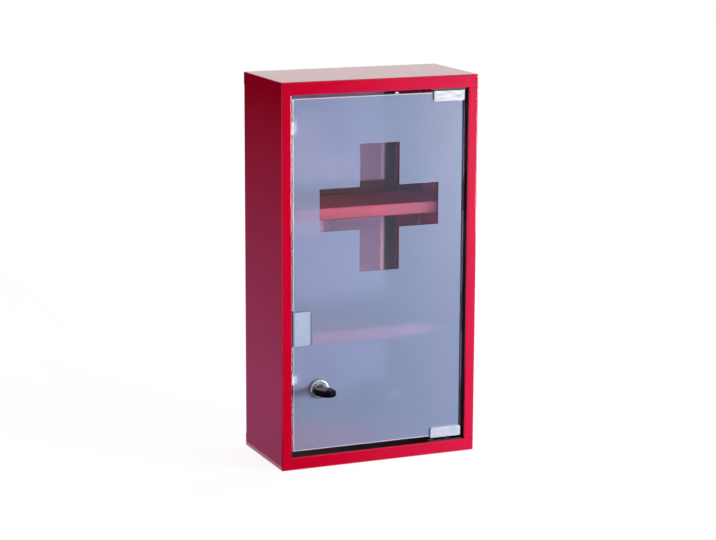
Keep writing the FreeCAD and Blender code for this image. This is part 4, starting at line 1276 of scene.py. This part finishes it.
@dataclass(frozen=True)
class Softbox:
    """A soft lamp: its place, width and height in metres, and its power in watts."""

    name: str
    place: Triple
    size: Pair
    watts: float

    def build(self) -> None:
        """Hangs the lamp, facing the cabinet's middle."""
        light = bpy.data.lights.new(self.name, "AREA")
        light.shape = "RECTANGLE"
        light.size, light.size_y = self.size
        light.energy = self.watts
        lamp = bpy.data.objects.new(self.name, light)
        bpy.context.scene.collection.objects.link(lamp)
        lamp.location = self.place
        aim = (CAD_BOX[0] + CAD_BOX[1]) / 2 - Vector(self.place)
        lamp.rotation_euler = aim.to_track_quat("-Z", "Y").to_euler()


@dataclass
class Studio:
    """White paper, soft lamps and a camera at the photograph's angle."""

    azimuth: float = -23.103
    elevation: float = 11.55
    roll: float = 0.259
    distance_mm: float = 2664.329
    shift_mm: Pair = (2.094, 8.367)
    focal_px: float = 2211.725
    image_px: float = 716.0
    sensor_mm: float = 36.0
    floor_mm: float = 6000.0
    floor_drop_mm: float = 0.2
    ambient: float = 0.4
    room: float = 0.15
    backdrop_span: Pair = (-0.3, 0.1)
    ceiling_span: Pair = (0.2, 0.6)
    lamps: tuple[Softbox, ...] = (
        Softbox("key_softbox", (0.957, -0.984, 0.2), (0.45, 0.32), 18.5),
        Softbox("top_softbox", (0.2, 0.3, 1.9), (1.4, 1.4), 2.5),
    )

    def build(self) -> None:
        """Builds the floor, the cards, the world, the lamps and the camera."""
        bpy.context.scene.view_settings.view_transform = "Standard"
        self.floor()
        for card in self.cards():
            card.build()
        self.world()
        for lamp in self.lamps:
            lamp.build()
        self.camera()

    def cards(self) -> tuple[ReflectionCard, ...]:
        """Plans the cards round the cabinet, in metres.

        Returns:
            Mauve cards by its side, a blue cloth in front, and a dark card behind the back's keyholes.
        """
        side, foot, near, far, low, tall = -0.26, -0.13, -0.064, 1.2, 0.001, 0.9
        upright = ((side, near, 0.0), (side, far, 0.0), (side, far, tall), (side, near, tall))
        beside = ((side, near, low), (foot, near, low), (foot, far, low), (side, far, low))
        left, right, front = -0.25, 3.4, -6.0
        before = ((left, near, low), (left, front, low), (right, front, low), (right, near, low))
        half, wall, under, over = 0.11, 0.066, 0.36, 0.45
        behind = ((-half, wall, under), (half, wall, under), (half, wall, over), (-half, wall, over))
        mauve, blue = "#ecaeff", "#7aa0ff"
        return (
            ReflectionCard("side_card", upright, mauve, reach=(0.0, 0.4), levels=(0.5, 0.0)),
            ReflectionCard("side_cloth", beside, mauve, levels=(0.5, 0.5)),
            ReflectionCard(
                "front_cloth", before, blue, way=(1.0, 0.426, 0.0), reach=(-0.1, 0.12), levels=(0.0, 1.0)
            ),
            ReflectionCard("wall_card", behind, through_glass=True),
        )

    def floor(self) -> None:
        """Lays the paper just under the cabinet; it shows white to the camera and in reflections."""
        half, drop = self.floor_mm / 2, self.floor_drop_mm
        corners = ((-half, -half, -drop), (half, -half, -drop), (half, half, -drop), (-half, half, -drop))
        mesh = bpy.data.meshes.new("studio_floor")
        mesh.from_pydata([Vector(corner) * MM for corner in corners], [], [(0, 1, 2, 3)])
        mesh_object("studio_floor", mesh, StudioPaper().material())

    def world(self) -> None:
        """White to the camera; in mirrors and through glass a white backdrop and a dimmer room in front."""
        world = bpy.data.worlds.new("studio")
        bpy.context.scene.world = world
        world.use_nodes = True
        tree = world.node_tree
        tree.nodes.clear()
        way = add_node(tree, "ShaderNodeTexCoord").outputs["Generated"]
        path = add_node(tree, "ShaderNodeLightPath").outputs
        axes = add_node(tree, "ShaderNodeSeparateXYZ", {"Vector": way}).outputs
        low, high = self.ceiling_span
        span = {"Value": axes["Z"], "From Min": low, "From Max": high, "To Max": path["Is Glossy Ray"]}
        ceiling = add_node(tree, "ShaderNodeMapRange", span).outputs["Result"]
        low, high = self.backdrop_span
        span = {"Value": axes["Y"], "From Min": low, "From Max": high, "To Min": self.room, "To Max": 1.0}
        depth = add_node(tree, "ShaderNodeMapRange", span).outputs["Result"]
        studio = add_node(tree, "ShaderNodeMath", {0: ceiling, 1: depth}, operation="MAXIMUM").outputs[0]
        kinds = {"Value": seen_directly(tree), "To Min": self.ambient, "To Max": studio}
        light = add_node(tree, "ShaderNodeMapRange", kinds).outputs["Result"]
        seen = {0: light, 1: path["Is Camera Ray"]}
        level = add_node(tree, "ShaderNodeMath", seen, operation="MAXIMUM").outputs[0]
        white = add_node(tree, "ShaderNodeBackground", {"Color": WHITE, "Strength": level})
        add_node(tree, "ShaderNodeOutputWorld", {"Surface": white.outputs["Background"]})

    def camera(self) -> None:
        """Stands the camera where the fitted view puts it."""
        aim = Vector((0, 0, node_span("top_board")[1].z / 2))
        azimuth, elevation, roll = (math.radians(a) for a in (self.azimuth, self.elevation, self.roll))
        back = Vector((
            math.sin(azimuth) * math.cos(elevation),
            -math.cos(azimuth) * math.cos(elevation),
            math.sin(elevation),
        ))
        level_right = (-back).cross(Vector((0, 0, 1))).normalized()
        level_up = level_right.cross(-back)
        right = level_right * math.cos(roll) + level_up * math.sin(roll)
        up = level_up * math.cos(roll) - level_right * math.sin(roll)
        place = aim - (right * self.shift_mm[0] + up * self.shift_mm[1]) + back * self.distance_mm
        lens = bpy.data.cameras.new("photo_view")
        lens.sensor_fit = "HORIZONTAL"
        lens.sensor_width = self.sensor_mm
        lens.lens = self.focal_px * self.sensor_mm / self.image_px
        camera = bpy.data.objects.new("photo_view", lens)
        bpy.context.scene.collection.objects.link(camera)
        turn = Matrix((right, up, back)).transposed()
        camera.matrix_world = Matrix.Translation(place * MM) @ turn.to_4x4()
        bpy.context.scene.camera = camera


def main() -> None:
    """Builds every sub-assembly in order and the studio round them."""
    logging.basicConfig(level=logging.INFO, format="%(name)s %(message)s")
    finishes = Finishes()
    repeater = Repeater()
    Carcass(finishes, repeater).build()
    DoorPane(finishes).build()
    Hinges(finishes, repeater).build()
    PullClip(finishes).build()
    Catch(finishes).build()
    CamLock(finishes).build()
    Key(finishes).build()
    Studio().build()


if __name__ == "__main__":
    main()
